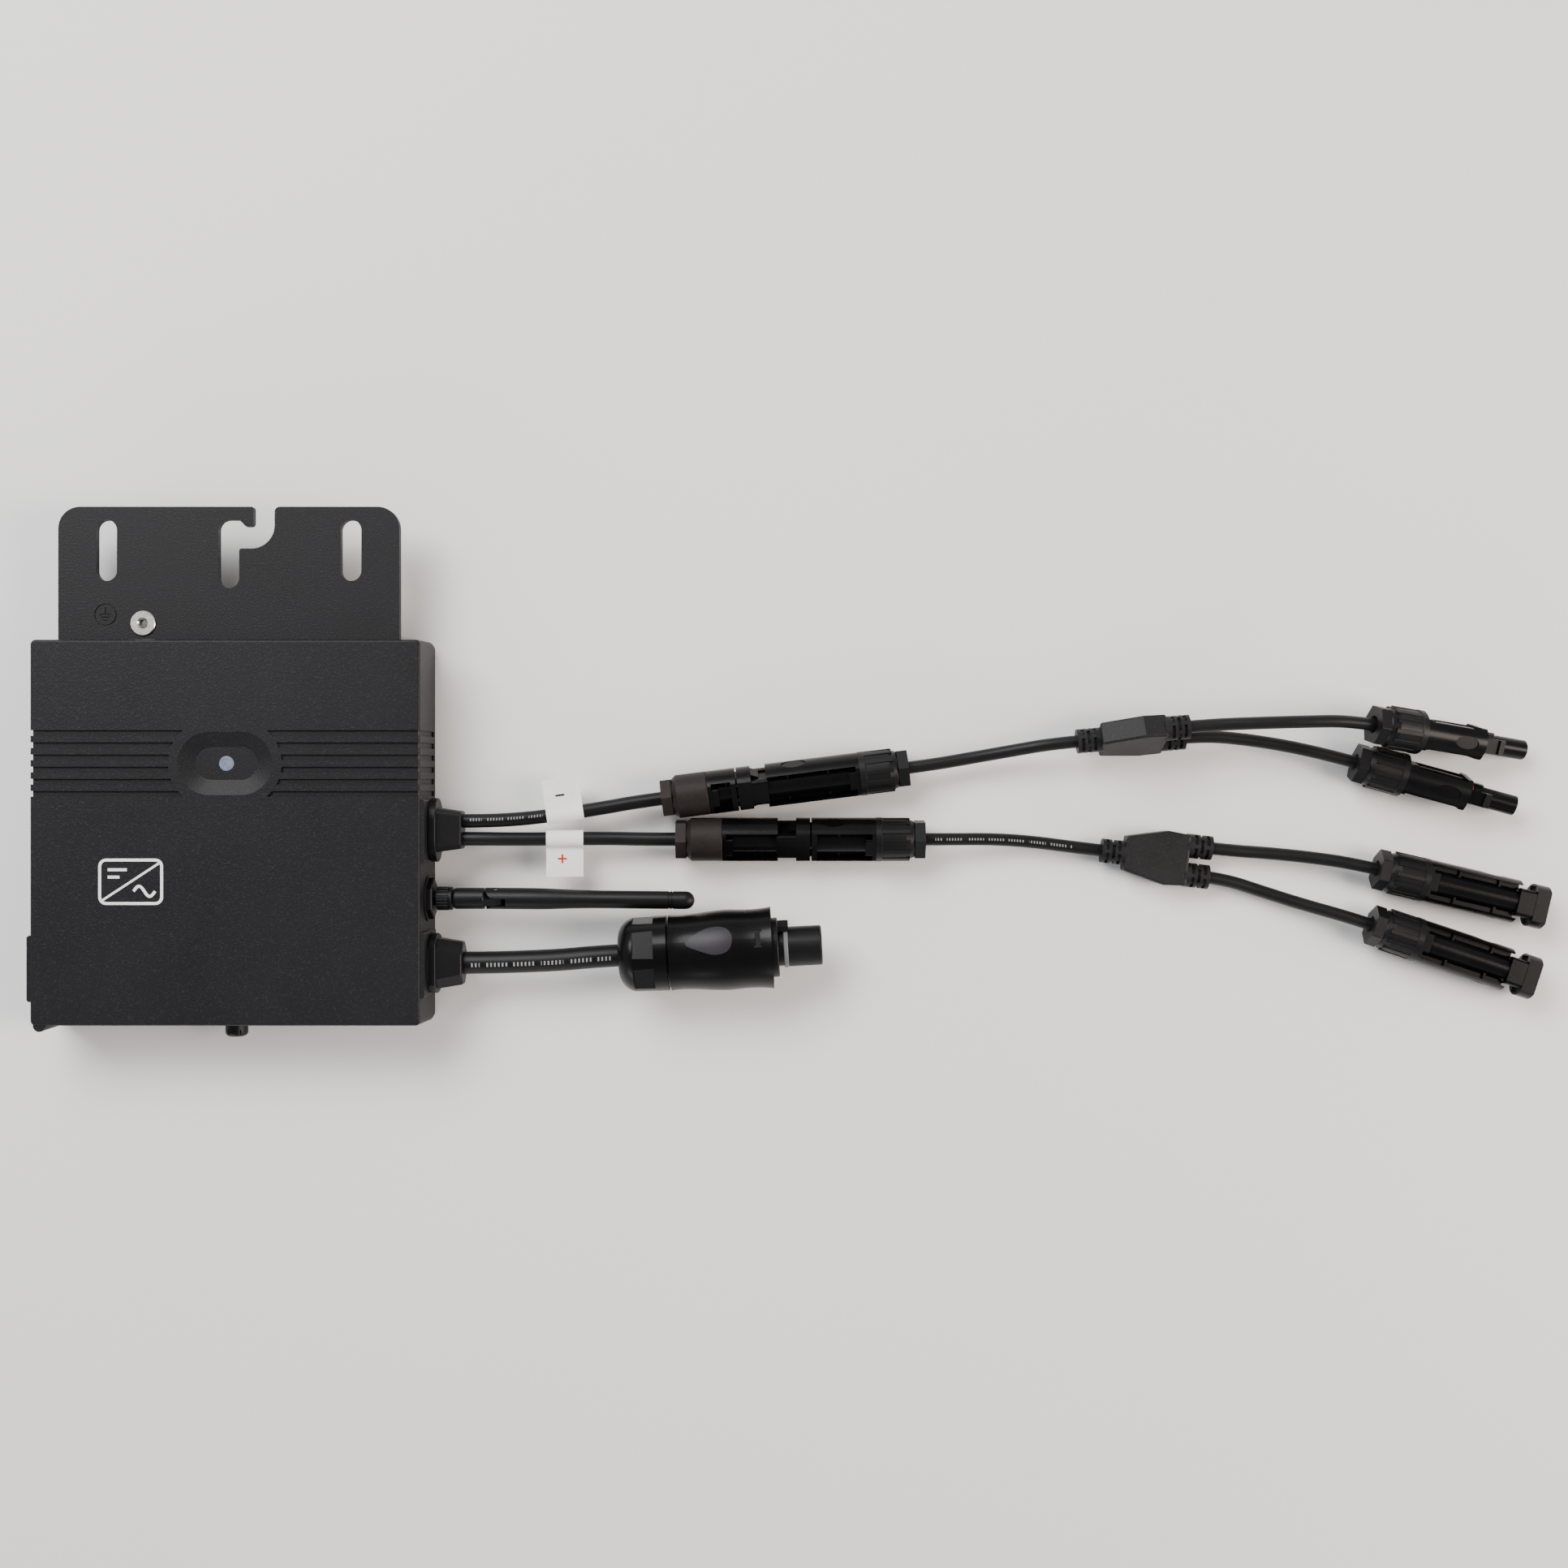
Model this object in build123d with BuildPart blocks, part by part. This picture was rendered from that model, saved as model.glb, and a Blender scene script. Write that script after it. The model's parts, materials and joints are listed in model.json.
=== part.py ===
from build123d import *
import os
from math import cos, pi, radians, sin, tan

# Micro inverter with a one-to-two adapter plugged into each solar input.
# The case lies on its back: z = 0 is the back face, +Y points at the mounting
# flange and +X at the side that the leads leave from. Millimetres throughout.

# ---------------------------------------------------------------- case
CASE_W = 160.0           # across X, at the lid
CASE_L = 158.5           # along Y, at the lid
CASE_H = 31.0            # back face to lid face
DRAFT = 2.1              # draft of the side walls, degrees
WALL = 3.0               # side walls and lid
CORNER_R = 3.0
COVER_T = 3.0            # back cover
GASKET_T = 0.8           # squeezed gasket between cover and rim
RIM_Z = COVER_T + GASKET_T
SPREAD = (CASE_H - RIM_Z) * tan(radians(DRAFT))
LID_IN = CASE_H - WALL   # inner face of the lid
PAD_X = CASE_W / 2 + 1.7             # outer face of the raised cable pads
DC_PAD_Y = (-12.6, 13.7)
AC_PAD_Y = (-68.2, -40.9)
LEFT_PAD_Y = (-69.6, -42.3)
PORT_Z = 15.2            # height of every port in the side walls
VENT_SEAT = 80.2
ANTENNA_SEAT = 81.0
POST_R = 3.8
PILOT_R = 1.3
CLEAR = 0.05             # radial clearance of a snug fit

# ---------------------------------------------------------------- mounting flange
FLANGE_W = 141.0
FLANGE_TOP = 25.3
FLANGE_T = 3.8
FLANGE_END = 134.6       # Y of the free edge
FLANGE_R = 9.0
SLOT_X = 50.5
SLOT_W = 8.5
SLOT_Y = (103.9, 129.2)
HOOK_FLOOR = 100.9       # bottom of the hook slot
HOOK_TAB_Y = 126.5       # underside of the hook's tab
HOOK_TAB_X = 10.2        # end of the tab, where the entry starts
HOOK_CHANNEL_Y = 117.3
HOOK_ENTRY_X = 18.9
HOOK_SWEEP_R = 9.6
INSERT_XY = (-35.4, 86.4)
EARTH_XY = (-50.9, 90.0)

# ---------------------------------------------------------------- lid details
LED_Y = 28.45
DIMPLE_Z = 28.6          # floor of the dimple round the status light
GROOVES = 6
GROOVE_PITCH = 5.0
GROOVE_W = 2.3
GROOVE_DEPTH = 1.0
LENS_R = 3.1

# ---------------------------------------------------------------- board
BOARD_Z = 8.0
BOARD_T = 1.6
BOARD_TOP = BOARD_Z + BOARD_T
BOARD_POSTS = [(x, y) for x in (-64, 64) for y in (-63.5, 62)] + [(0, -63)]
COVER_POSTS = [(x, y) for x in (-74.6, 74.6) for y in (-73.6, 73.6)]
COVER_POSTS += [(-74.6, 0), (74.6, 30), (-30, 73.6), (36, 73.6), (-36, -73.6), (30, -73.6)]
SWITCH_SPOTS = [(x, 52) for x in (-42, -14, 14, 42)] + [(x, -50) for x in (-30, -10, 10)]
THERMAL_T = 0.6
CAN_R = 6.2

# ---------------------------------------------------------------- glands
GASKET_SKIN = 0.4
GLAND_X = PAD_X + GASKET_SKIN
GLAND_SKIN = 3.0
DC_Y = 0.8
DC_LEADS_Y = (4.5, -2.9)
DC_GLAND_END = 95.1
AC_Y = -54.8
AC_GLAND_END = 95.7
LEAD_START = 88.0        # where the solar leads' jackets stop inside the gland
AC_START = 86.5
GLAND_INSIDE = 74.5
WIRE_R = 1.4
AC_WIRE_R = 1.25
AC_WIRES_Y = [AC_Y + offset for offset in (-2.8, 0, 2.8)]

# ---------------------------------------------------------------- solar connectors
PV_R = 9.15              # body radius
PV_FLAT = 6.55           # half thickness across the troughs
CORE_R = 5.7             # tube between the two cheeks
CHEEK_X = 7.1            # inner face of a cheek
WEB = 2.4                # half thickness of the web in the troughs
NOSE_R = 4.2
NOSE_L = 21.7
MOUTH_R = 4.5            # bore that takes the nose
MOUTH_L = 24.2
T_END = 5.8              # full-width lip at a socket's mouth
PRONG_L = 9.8
SEAL_R = 4.9
NUT_R = 9.3
NUT_L = 16.8
CAP_R = 9.1
CAP_L = 15.2
HEX_L = 4.4
HEX_AF = 15.0
CORD_STOP = 12.5         # cord end, behind the back of the body
MATED_GAP = 0.7
PLUG_SHORT = 12.0        # body lengths; the short ones are on the inverter's own leads
PLUG_LONG = 27.0
SOCKET_SHORT = 23.3
SOCKET_LONG = 39.2
NOTCH_SHORT = 7.7
NOTCH_LONG = 6.4
CRIMP_R = 2.25
TUBE_R = 2.8             # contact tube in a nose
TUBE_BORE_R = 2.15
PIN_R = 1.9
PIN_TIP = 12.0           # pin's tip, behind the mouth

MINUS_MOUTH = (210.1, 17.9, 9.35)   # mating faces and headings
MINUS_HEADING = 7.1
MINUS_ROLL = 30.0
PLUS_MOUTH = (240.3, -3.3, 9.35)
PLUS_ROLL = 37.0
BRANCH_PLUG_UPPER = (520.8, 37.65, 10.0)
BRANCH_PLUG_LOWER = (516.0, 16.6, 9.35)
BRANCH_SOCKET_UPPER = (549.2, -32.2, 9.35)
BRANCH_SOCKET_LOWER = (545.0, -61.9, 9.35)

# ---------------------------------------------------------------- splitters
SPLIT_HALF = 13.5        # half length of the block
SPLIT_T = 9.8
RELIEF_R = 5.1
RELIEF_L = 9.6
RELIEF_BORE = 6.1
OUTLET_STEP = 6.15       # each outlet's distance from the middle
MINUS_SPLIT = (375.2, 39.8, 13.2)
MINUS_SPLIT_HEADING = 4.9
MINUS_SPLIT_ROLL = 70.0
PLUS_SPLIT = (386.6, -10.7, 5.6)
PLUS_SPLIT_HEADING = -6.5

# ---------------------------------------------------------------- cords
DC_D = 5.8               # the inverter's solar leads
AC_D = 9.4
LEAD_D = 5.3             # adapter leads

# ---------------------------------------------------------------- antenna
ANTENNA_Y = -27.85
ANTENNA_R = 4.5
HEX_END = 83.3
NUT_FROM = 84.3
NUT_TO = 90.9
COLLAR_TO = 104.2
THREAD_R = 3.1
STEM_R = 2.5
HINGE_X = 109.0
HINGE_ROLL = 24.0        # the hinge's swing plane leans this far from vertical
WHIP_LIFT = 1.2          # the whip's angle above the port's axis as it lies
WHIP_TIP = 83.1          # from the hinge
TIP_R = 3.75
TONGUE_T = 3.2
TONGUE_R = 4.0
HINGE_PIN_R = 0.9

# ---------------------------------------------------------------- mains plug
AC_BACK = (160.6, -51.5, 17.2)       # back of the plug's domed nut
AC_HEADING = 3.0
AC_ROLL = -19.0
AC_CORD_STOP = 7.4
AC_NUT_END = 20.5
AC_NUT_R = 15.65
AC_SLEEVE = (21.4, 64.0)
AC_INSERT_R = 12.35
AC_DISC_END = 66.6
AC_NOSE_FROM = 70.6
AC_NOSE_R = 8.3
AC_TIP = 84.7

os.makedirs("parts", exist_ok=True)


def save(builder, name):
    """Label a finished piece and write it."""
    builder.part.label = name
    export_step(builder.part, f"parts/{name}.step")


def connector_frame(face, heading, pitch=0.0, roll=0.0):
    """Plane with Z along the way a connector points, X to its side and Y over it."""
    turn = radians(heading)
    lift = radians(pitch)
    forward = Vector(cos(turn) * cos(lift), sin(turn) * cos(lift), sin(lift))
    side = Vector(0, 0, 1).cross(forward).normalized()
    over = forward.cross(side)
    leaning = side * cos(radians(roll)) + over * sin(radians(roll))
    return Plane(origin=face, x_dir=leaning, z_dir=forward)


def lengthwise(frame):
    """Plane through a frame's axis: X along the axis, Y over it."""
    return Plane(origin=frame.origin, x_dir=frame.z_dir, z_dir=-frame.x_dir)


def flatwise(frame):
    """Plane through a frame's axis: X along the axis, Y to its side."""
    return Plane(origin=frame.origin, x_dir=frame.z_dir, z_dir=frame.y_dir)


def point_on(frame, along, side=0.0):
    """Point in space, `along` a frame's axis and `side` millimetres beside it."""
    return frame.origin + frame.z_dir * along + frame.x_dir * side


def turned(frame, outline):
    """Solid of revolution about a frame's Z, from (along, radius) points."""
    with BuildPart() as body:
        with BuildSketch(lengthwise(frame)):
            with BuildLine():
                Polyline(*outline, close=True)
            make_face()
        revolve(axis=Axis(frame.origin, frame.z_dir))
    return body.part


def rod(frame, start, end, radius):
    """Round bar on a frame's axis."""
    with BuildPart() as bar:
        with BuildSketch(frame.offset(start)):
            Circle(radius)
        extrude(amount=end - start)
    return bar.part


def wire(points, radius, bend):
    """Round wire along straight runs with equal bends."""
    with BuildPart() as strand:
        with BuildLine() as path:
            FilletPolyline(*points, radius=bend)
        with BuildSketch(Plane(origin=path.line @ 0, z_dir=path.line % 0)):
            Circle(radius)
        sweep()
    return strand.part


def cord_tube(name, points, diameter):
    """Cord along straight runs joined by arcs as large as the runs allow."""
    radii = []
    for before, corner, after in zip(points, points[1:], points[2:]):
        run_in = Vector(corner) - Vector(before)
        run_out = Vector(after) - Vector(corner)
        shorter = min(run_in.length, run_out.length)
        half_turn = radians(run_in.get_angle(run_out)) / 2
        radii.append(0.45 * shorter / tan(half_turn))
    with BuildPart() as tube:
        with BuildLine() as path:
            FilletPolyline(*points, radius=radii)
        with BuildSketch(Plane(origin=path.line @ 0, z_dir=path.line % 0)):
            Circle(diameter / 2)
        sweep()
    length = sum(edge.length for edge in path.edges())
    ratio = tube.part.volume / (pi * (diameter / 2) ** 2 * length)
    print(f"{name}: length {length:.1f}, volume ratio {ratio:.4f}, "
          f"radii {', '.join(f'{radius:.0f}' for radius in radii)}")
    save(tube, name)


# ================================================================ case

def corner_at(sketch, x, y):
    """The vertex of a sketch nearest to a known corner."""
    return sketch.vertices().sort_by_distance((x, y, 0))[0]


right_wall = Plane(origin=(0, 0, PORT_Z), x_dir=(0, 1, 0), z_dir=(1, 0, 0))
front_wall = Plane(origin=(0.5, 0, PORT_Z), x_dir=(1, 0, 0), z_dir=(0, -1, 0))
gland_face = right_wall.offset(GLAND_X)
half_slot = SLOT_W / 2

# Hook-shaped slot, open at the flange's free edge.
with BuildSketch() as hook_slot:
    with BuildLine():
        RadiusArc((-half_slot, SLOT_Y[1] - half_slot), (0, SLOT_Y[1]), half_slot)
        Polyline(
            (0, SLOT_Y[1]),
            (half_slot, SLOT_Y[1]),
            (half_slot + SLOT_Y[1] - HOOK_TAB_Y, HOOK_TAB_Y),
            (HOOK_TAB_X, HOOK_TAB_Y),
            (HOOK_TAB_X, FLANGE_END + 1),
            (HOOK_ENTRY_X, FLANGE_END + 1),
            (HOOK_ENTRY_X, HOOK_CHANNEL_Y + HOOK_SWEEP_R),
        )
        RadiusArc(
            (HOOK_ENTRY_X, HOOK_CHANNEL_Y + HOOK_SWEEP_R),
            (HOOK_ENTRY_X - HOOK_SWEEP_R, HOOK_CHANNEL_Y),
            HOOK_SWEEP_R,
        )
        Polyline(
            (HOOK_ENTRY_X - HOOK_SWEEP_R, HOOK_CHANNEL_Y),
            (half_slot, HOOK_CHANNEL_Y),
            (half_slot, HOOK_FLOOR + half_slot),
        )
        RadiusArc((half_slot, HOOK_FLOOR + half_slot), (0, HOOK_FLOOR), half_slot)
        RadiusArc((0, HOOK_FLOOR), (-half_slot, HOOK_FLOOR + half_slot), half_slot)
        Line((-half_slot, HOOK_FLOOR + half_slot), (-half_slot, SLOT_Y[1] - half_slot))
    make_face()

# Grooves run from the rim round the dimple to the side walls and down them.
groove_ys = [LED_Y + (i - (GROOVES - 1) / 2) * GROOVE_PITCH for i in range(GROOVES)]
with BuildPart() as groove_bars:
    with BuildSketch(Plane.XY.offset(RIM_Z - 1)):
        with Locations(*[(0, y) for y in groove_ys]):
            Rectangle(CASE_W + 20, GROOVE_W)
    extrude(amount=CASE_H)
    with BuildSketch(Plane.XY.offset(RIM_Z)):
        Rectangle(CASE_W + 2 * SPREAD - 2 * GROOVE_DEPTH, CASE_L)
    extrude(amount=CASE_H - RIM_Z - GROOVE_DEPTH, taper=DRAFT, mode=Mode.SUBTRACT)
    with BuildSketch(Plane.XY.offset(RIM_Z - 2)):
        Rectangle(CASE_W + 2 * SPREAD - 2 * GROOVE_DEPTH, CASE_L)
    extrude(amount=2, mode=Mode.SUBTRACT)
    with BuildSketch(Plane.XY.offset(RIM_Z)):
        with Locations((0, LED_Y)):
            SlotCenterToCenter(10.2, 36.4)
    extrude(amount=CASE_H, mode=Mode.SUBTRACT)

with BuildPart() as dimple:
    with BuildSketch(Plane.XY.offset(DIMPLE_Z)):
        with Locations((0, LED_Y)):
            SlotCenterToCenter(12.0, 13.5)
    with BuildSketch(Plane.XY.offset(CASE_H)):
        with Locations((0, LED_Y)):
            SlotCenterToCenter(13.0, 26.0)
    loft()

with BuildPart() as housing:
    # Tapered die-cast block with a softened lid edge.
    with BuildSketch(Plane.XY.offset(RIM_Z)):
        RectangleRounded(CASE_W + 2 * SPREAD, CASE_L + 2 * SPREAD, CORNER_R)
    extrude(amount=CASE_H - RIM_Z, taper=DRAFT)
    fillet(housing.faces().sort_by(Axis.Z)[-1].edges(), 1.1)
    # Raised pads behind the glands, their twin on the left wall, and a cast nub.
    with BuildSketch(Plane.XY.offset(RIM_Z)):
        for low, high in (DC_PAD_Y, AC_PAD_Y):
            with Locations((PAD_X - 6, (low + high) / 2)):
                RectangleRounded(12, high - low, 1.2)
        with Locations((-PAD_X + 6, sum(LEFT_PAD_Y) / 2)):
            RectangleRounded(12, LEFT_PAD_Y[1] - LEFT_PAD_Y[0], 1.2)
        with Locations((-76.5, -CASE_L / 2)):
            Circle(2.6)
    extrude(amount=CASE_H - 0.8 - RIM_Z)
    # Mounting flange, cast in one with the case.
    with BuildSketch(Plane.XY.offset(FLANGE_TOP - FLANGE_T)) as flange:
        with Locations((0, (FLANGE_END + 70) / 2)):
            Rectangle(FLANGE_W, FLANGE_END - 70)
        with Locations(*[(x, sum(SLOT_Y) / 2) for x in (-SLOT_X, SLOT_X)]):
            SlotOverall(SLOT_Y[1] - SLOT_Y[0], SLOT_W, rotation=90, mode=Mode.SUBTRACT)
        add(hook_slot.sketch, mode=Mode.SUBTRACT)
        fillet([corner_at(flange, x, FLANGE_END) for x in (-FLANGE_W / 2, FLANGE_W / 2)], FLANGE_R)
        fillet(corner_at(flange, HOOK_ENTRY_X, FLANGE_END), 2.2)
        fillet(corner_at(flange, HOOK_TAB_X, HOOK_TAB_Y), 1.4)
        fillet(corner_at(flange, HOOK_TAB_X, FLANGE_END), 0.8)
        fillet(corner_at(flange, half_slot, HOOK_CHANNEL_Y), 1.0)
    extrude(amount=FLANGE_T)
    # Cast gussets under the flange's root.
    for x in (-62, -22, 22, 62):
        with BuildSketch(Plane.YZ.offset(x - 1.5)):
            with BuildLine():
                Polyline(
                    (CASE_L / 2 - 1, FLANGE_TOP - FLANGE_T + 0.5),
                    (CASE_L / 2 - 1, 8),
                    (CASE_L / 2 + 2, 8),
                    (CASE_L / 2 + 12, FLANGE_TOP - FLANGE_T + 0.5),
                    close=True,
                )
            make_face()
        extrude(amount=3)
    # Seats for the antenna port and the vent.
    with BuildSketch(right_wall.offset(CASE_W / 2 - 1)):
        with Locations((ANTENNA_Y, 0)):
            Circle(9.6)
    extrude(amount=ANTENNA_SEAT - CASE_W / 2 + 1)
    with BuildSketch(front_wall.offset(CASE_L / 2 - 1)):
        Circle(6.2)
    extrude(amount=VENT_SEAT - CASE_L / 2 + 1)
    # Hollow, open at the back.
    with BuildSketch(Plane.XY.offset(RIM_Z)):
        RectangleRounded(CASE_W + 2 * SPREAD - 2 * WALL, CASE_L + 2 * SPREAD - 2 * WALL, 2)
    extrude(amount=LID_IN - RIM_Z, taper=DRAFT, mode=Mode.SUBTRACT)
    # Thick spot under the dimple, posts for the board and posts for the cover screws.
    with BuildSketch(Plane.XY.offset(LID_IN - 2.6)):
        with Locations((0, LED_Y)):
            SlotCenterToCenter(12.0, 22.0)
    extrude(amount=2.7)
    with BuildSketch(Plane.XY.offset(BOARD_TOP)):
        with Locations(*BOARD_POSTS):
            Circle(POST_R)
    extrude(amount=LID_IN - BOARD_TOP + 0.1)
    with BuildSketch(Plane.XY.offset(COVER_T)):
        with Locations(*COVER_POSTS):
            Circle(POST_R)
    extrude(amount=14)
    with BuildSketch(Plane.XY.offset(BOARD_TOP)):
        with Locations(*BOARD_POSTS):
            Circle(PILOT_R)
    extrude(amount=9, mode=Mode.SUBTRACT)
    with BuildSketch(Plane.XY.offset(COVER_T)):
        with Locations(*COVER_POSTS):
            Circle(PILOT_R)
    extrude(amount=9, mode=Mode.SUBTRACT)
    # Lid: dimple, light hole and grooves.
    add(dimple.part, mode=Mode.SUBTRACT)
    with BuildSketch(Plane.XY.offset(DIMPLE_Z + 1)):
        with Locations((0, LED_Y)):
            Circle(LENS_R)
    extrude(amount=-8, mode=Mode.SUBTRACT)
    add(groove_bars.part, mode=Mode.SUBTRACT)
    # Ports through the side walls.
    with BuildSketch(right_wall.offset(PAD_X + 1)):
        with Locations((DC_Y, 0)):
            SlotOverall(20.4, 11.4)
        with Locations((AC_Y, 0)):
            Circle(8.2)
        with Locations((ANTENNA_Y, 0)):
            Circle(THREAD_R + 0.15)
    extrude(amount=-8, mode=Mode.SUBTRACT)
    with BuildSketch(front_wall.offset(VENT_SEAT + 1)):
        Circle(3.25)
    extrude(amount=-8, mode=Mode.SUBTRACT)
    # Hole for the earth insert, and the earth sign sunk into the flange.
    with BuildSketch(Plane.XY.offset(FLANGE_TOP)):
        with Locations(INSERT_XY):
            Circle(4.0)
    extrude(amount=-FLANGE_T, mode=Mode.SUBTRACT)
    with BuildSketch(Plane.XY.offset(FLANGE_TOP)):
        with Locations(EARTH_XY):
            Circle(4.6)
            Circle(4.2, mode=Mode.SUBTRACT)
        with Locations((EARTH_XY[0], EARTH_XY[1] + 1.5)):
            Rectangle(0.4, 2.9)
        for row, width in enumerate((5.0, 3.4, 1.8)):
            with Locations((EARTH_XY[0], EARTH_XY[1] - 1.2 * row)):
                Rectangle(width, 0.4)
    extrude(amount=-0.35, mode=Mode.SUBTRACT)
save(housing, "housing")

with BuildPart() as back_cover:
    with BuildSketch(Plane.XY):
        RectangleRounded(CASE_W + 2 * SPREAD - 0.6, CASE_L + 2 * SPREAD - 0.6, CORNER_R)
    extrude(amount=COVER_T)
    # Lugs that close the gasket gap at the four corners.
    with BuildSketch(Plane.XY.offset(COVER_T)):
        RectangleRounded(CASE_W + 2 * SPREAD - 0.6, CASE_L + 2 * SPREAD - 0.6, CORNER_R)
        Rectangle(CASE_W - 8, CASE_L + 8, mode=Mode.SUBTRACT)
        Rectangle(CASE_W + 8, CASE_L - 8, mode=Mode.SUBTRACT)
        RectangleRounded(CASE_W - 0.2, CASE_L - 0.2, CORNER_R, mode=Mode.SUBTRACT)
    extrude(amount=GASKET_T)
    # Shallow recess for a rating plate, then the screw holes.
    with BuildSketch(Plane.XY):
        with Locations((0, 42)):
            RectangleRounded(90, 46, 3)
    extrude(amount=0.4, mode=Mode.SUBTRACT)
    with Locations(*[Location((x, y, 0), (180, 0, 0)) for x, y in COVER_POSTS]):
        CounterSinkHole(radius=1.7, counter_sink_radius=3.1, depth=COVER_T, counter_sink_angle=90)
save(back_cover, "back_cover")

with BuildPart() as cover_gasket:
    with BuildSketch(Plane.XY.offset(COVER_T)):
        RectangleRounded(CASE_W - 0.6, CASE_L - 0.6, 2.6)
        RectangleRounded(CASE_W - 2.4, CASE_L - 2.4, 1.4, mode=Mode.SUBTRACT)
    extrude(amount=GASKET_T)
save(cover_gasket, "cover_gasket")

with BuildPart() as cover_screws:
    with BuildSketch(Plane.XY.offset(0.2)):
        with Locations(*COVER_POSTS):
            Circle(2.85)
    extrude(amount=1.2, taper=44)
    with BuildSketch(Plane.XY.offset(0.2)):
        with Locations(*COVER_POSTS):
            Circle(PILOT_R - CLEAR)
    extrude(amount=11)
    with BuildSketch(Plane.XY.offset(0.2)):
        with Locations(*COVER_POSTS):
            RegularPolygon(1.0, 6)
    extrude(amount=1.1, mode=Mode.SUBTRACT)
save(cover_screws, "cover_screws")

with BuildPart() as status_lens:
    with BuildSketch(Plane.XY.offset(DIMPLE_Z - 3.2)):
        with Locations((0, LED_Y)):
            Circle(LENS_R)
    extrude(amount=3.3)
    fillet(status_lens.faces().sort_by(Axis.Z)[-1].edges(), 0.3)
save(status_lens, "status_lens")

with BuildPart() as ground_insert:
    with BuildSketch(Plane.XY.offset(FLANGE_TOP - FLANGE_T)):
        with Locations(INSERT_XY):
            Circle(4.0)
    extrude(amount=FLANGE_T)
    with BuildSketch(Plane.XY.offset(FLANGE_TOP)):
        with Locations(INSERT_XY):
            Circle(5.2)
    extrude(amount=0.9)
    chamfer(ground_insert.faces().sort_by(Axis.Z)[-1].edges(), 0.3)
    with Locations((*INSERT_XY, FLANGE_TOP + 0.9)):
        CounterSinkHole(radius=1.65, counter_sink_radius=2.3, depth=FLANGE_T + 0.9)
save(ground_insert, "ground_insert")

with BuildPart() as vent_plug:
    with BuildSketch(front_wall.offset(VENT_SEAT - 5)):
        Circle(3.2)
    extrude(amount=5)
    with BuildSketch(front_wall.offset(VENT_SEAT)):
        Circle(4.65)
    extrude(amount=5.2)
    fillet(vent_plug.faces().sort_by(Axis.Y)[0].edges(), 1.9)
    with BuildSketch(front_wall.offset(VENT_SEAT + 2.2)):
        with PolarLocations(4.9, 6):
            Circle(0.7)
    extrude(amount=4, mode=Mode.SUBTRACT)
save(vent_plug, "vent_plug")

# ================================================================ glands

with BuildPart() as dc_gland:
    with BuildSketch(gland_face):
        with Locations((DC_Y, 0)):
            SlotOverall(26.7, 18.3)
    extrude(amount=GLAND_SKIN)
    fillet(dc_gland.faces().sort_by(Axis.X)[-1].edges(), 0.6)
    with BuildSketch(gland_face):
        with Locations((DC_Y, 0)):
            SlotOverall(20.2, 11.2)
    extrude(amount=GLAND_INSIDE - GLAND_X)
    with BuildSketch(gland_face.offset(GLAND_SKIN - 0.5)):
        with Locations((DC_Y, 0)):
            RectangleRounded(18.4, 15.2, 2.4)
    with BuildSketch(right_wall.offset(DC_GLAND_END)):
        with Locations((DC_Y, 0)):
            RectangleRounded(15.6, 12.0, 2.2)
    loft()
    fillet(dc_gland.faces().sort_by(Axis.X)[-1].edges(), 0.6)
    with BuildSketch(right_wall.offset(DC_GLAND_END + 1)):
        with Locations(*[(y, 0) for y in DC_LEADS_Y]):
            Circle(DC_D / 2 + CLEAR)
    extrude(amount=LEAD_START - DC_GLAND_END - 1, mode=Mode.SUBTRACT)
    with BuildSketch(right_wall.offset(LEAD_START + 0.1)):
        with Locations(*[(y, 0) for y in DC_LEADS_Y]):
            Circle(WIRE_R + CLEAR)
    extrude(amount=-20, mode=Mode.SUBTRACT)
save(dc_gland, "dc_gland")

with BuildPart() as ac_gland:
    with BuildSketch(gland_face):
        with Locations((AC_Y, 0)):
            Circle(12.5)
            Rectangle(26, 18.0, mode=Mode.INTERSECT)
    extrude(amount=GLAND_SKIN)
    fillet(ac_gland.faces().sort_by(Axis.X)[-1].edges(), 0.6)
    with BuildSketch(gland_face):
        with Locations((AC_Y, 0)):
            Circle(8.1)
    extrude(amount=GLAND_INSIDE - GLAND_X)
    with BuildSketch(gland_face.offset(GLAND_SKIN - 0.5)) as boot_root:
        with Locations((AC_Y, 0)):
            Rectangle(21.0, 17.0)
        chamfer(boot_root.vertices(), 4.2)
    with BuildSketch(right_wall.offset(AC_GLAND_END)) as boot_tip:
        with Locations((AC_Y, 0)):
            Rectangle(17.6, 14.2)
        chamfer(boot_tip.vertices(), 4.6)
    loft()
    fillet(ac_gland.faces().sort_by(Axis.X)[-1].edges(), 1.0)
    with BuildSketch(right_wall.offset(AC_GLAND_END + 1)):
        with Locations((AC_Y, 0)):
            Circle(AC_D / 2 + CLEAR)
    extrude(amount=AC_START - AC_GLAND_END - 1, mode=Mode.SUBTRACT)
    with BuildSketch(right_wall.offset(AC_START + 0.1)):
        with Locations(*[(y, 0) for y in AC_WIRES_Y]):
            Circle(AC_WIRE_R + CLEAR)
    extrude(amount=-20, mode=Mode.SUBTRACT)
save(ac_gland, "ac_gland")

with BuildPart() as gland_gaskets:
    with BuildSketch(right_wall.offset(PAD_X)):
        with Locations((DC_Y, 0)):
            SlotOverall(25.9, 17.5)
            SlotOverall(20.6, 11.6, mode=Mode.SUBTRACT)
        with Locations((AC_Y, 0)):
            Circle(12.1)
            Circle(8.3, mode=Mode.SUBTRACT)
    extrude(amount=GASKET_SKIN)
save(gland_gaskets, "gland_gaskets")

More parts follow.
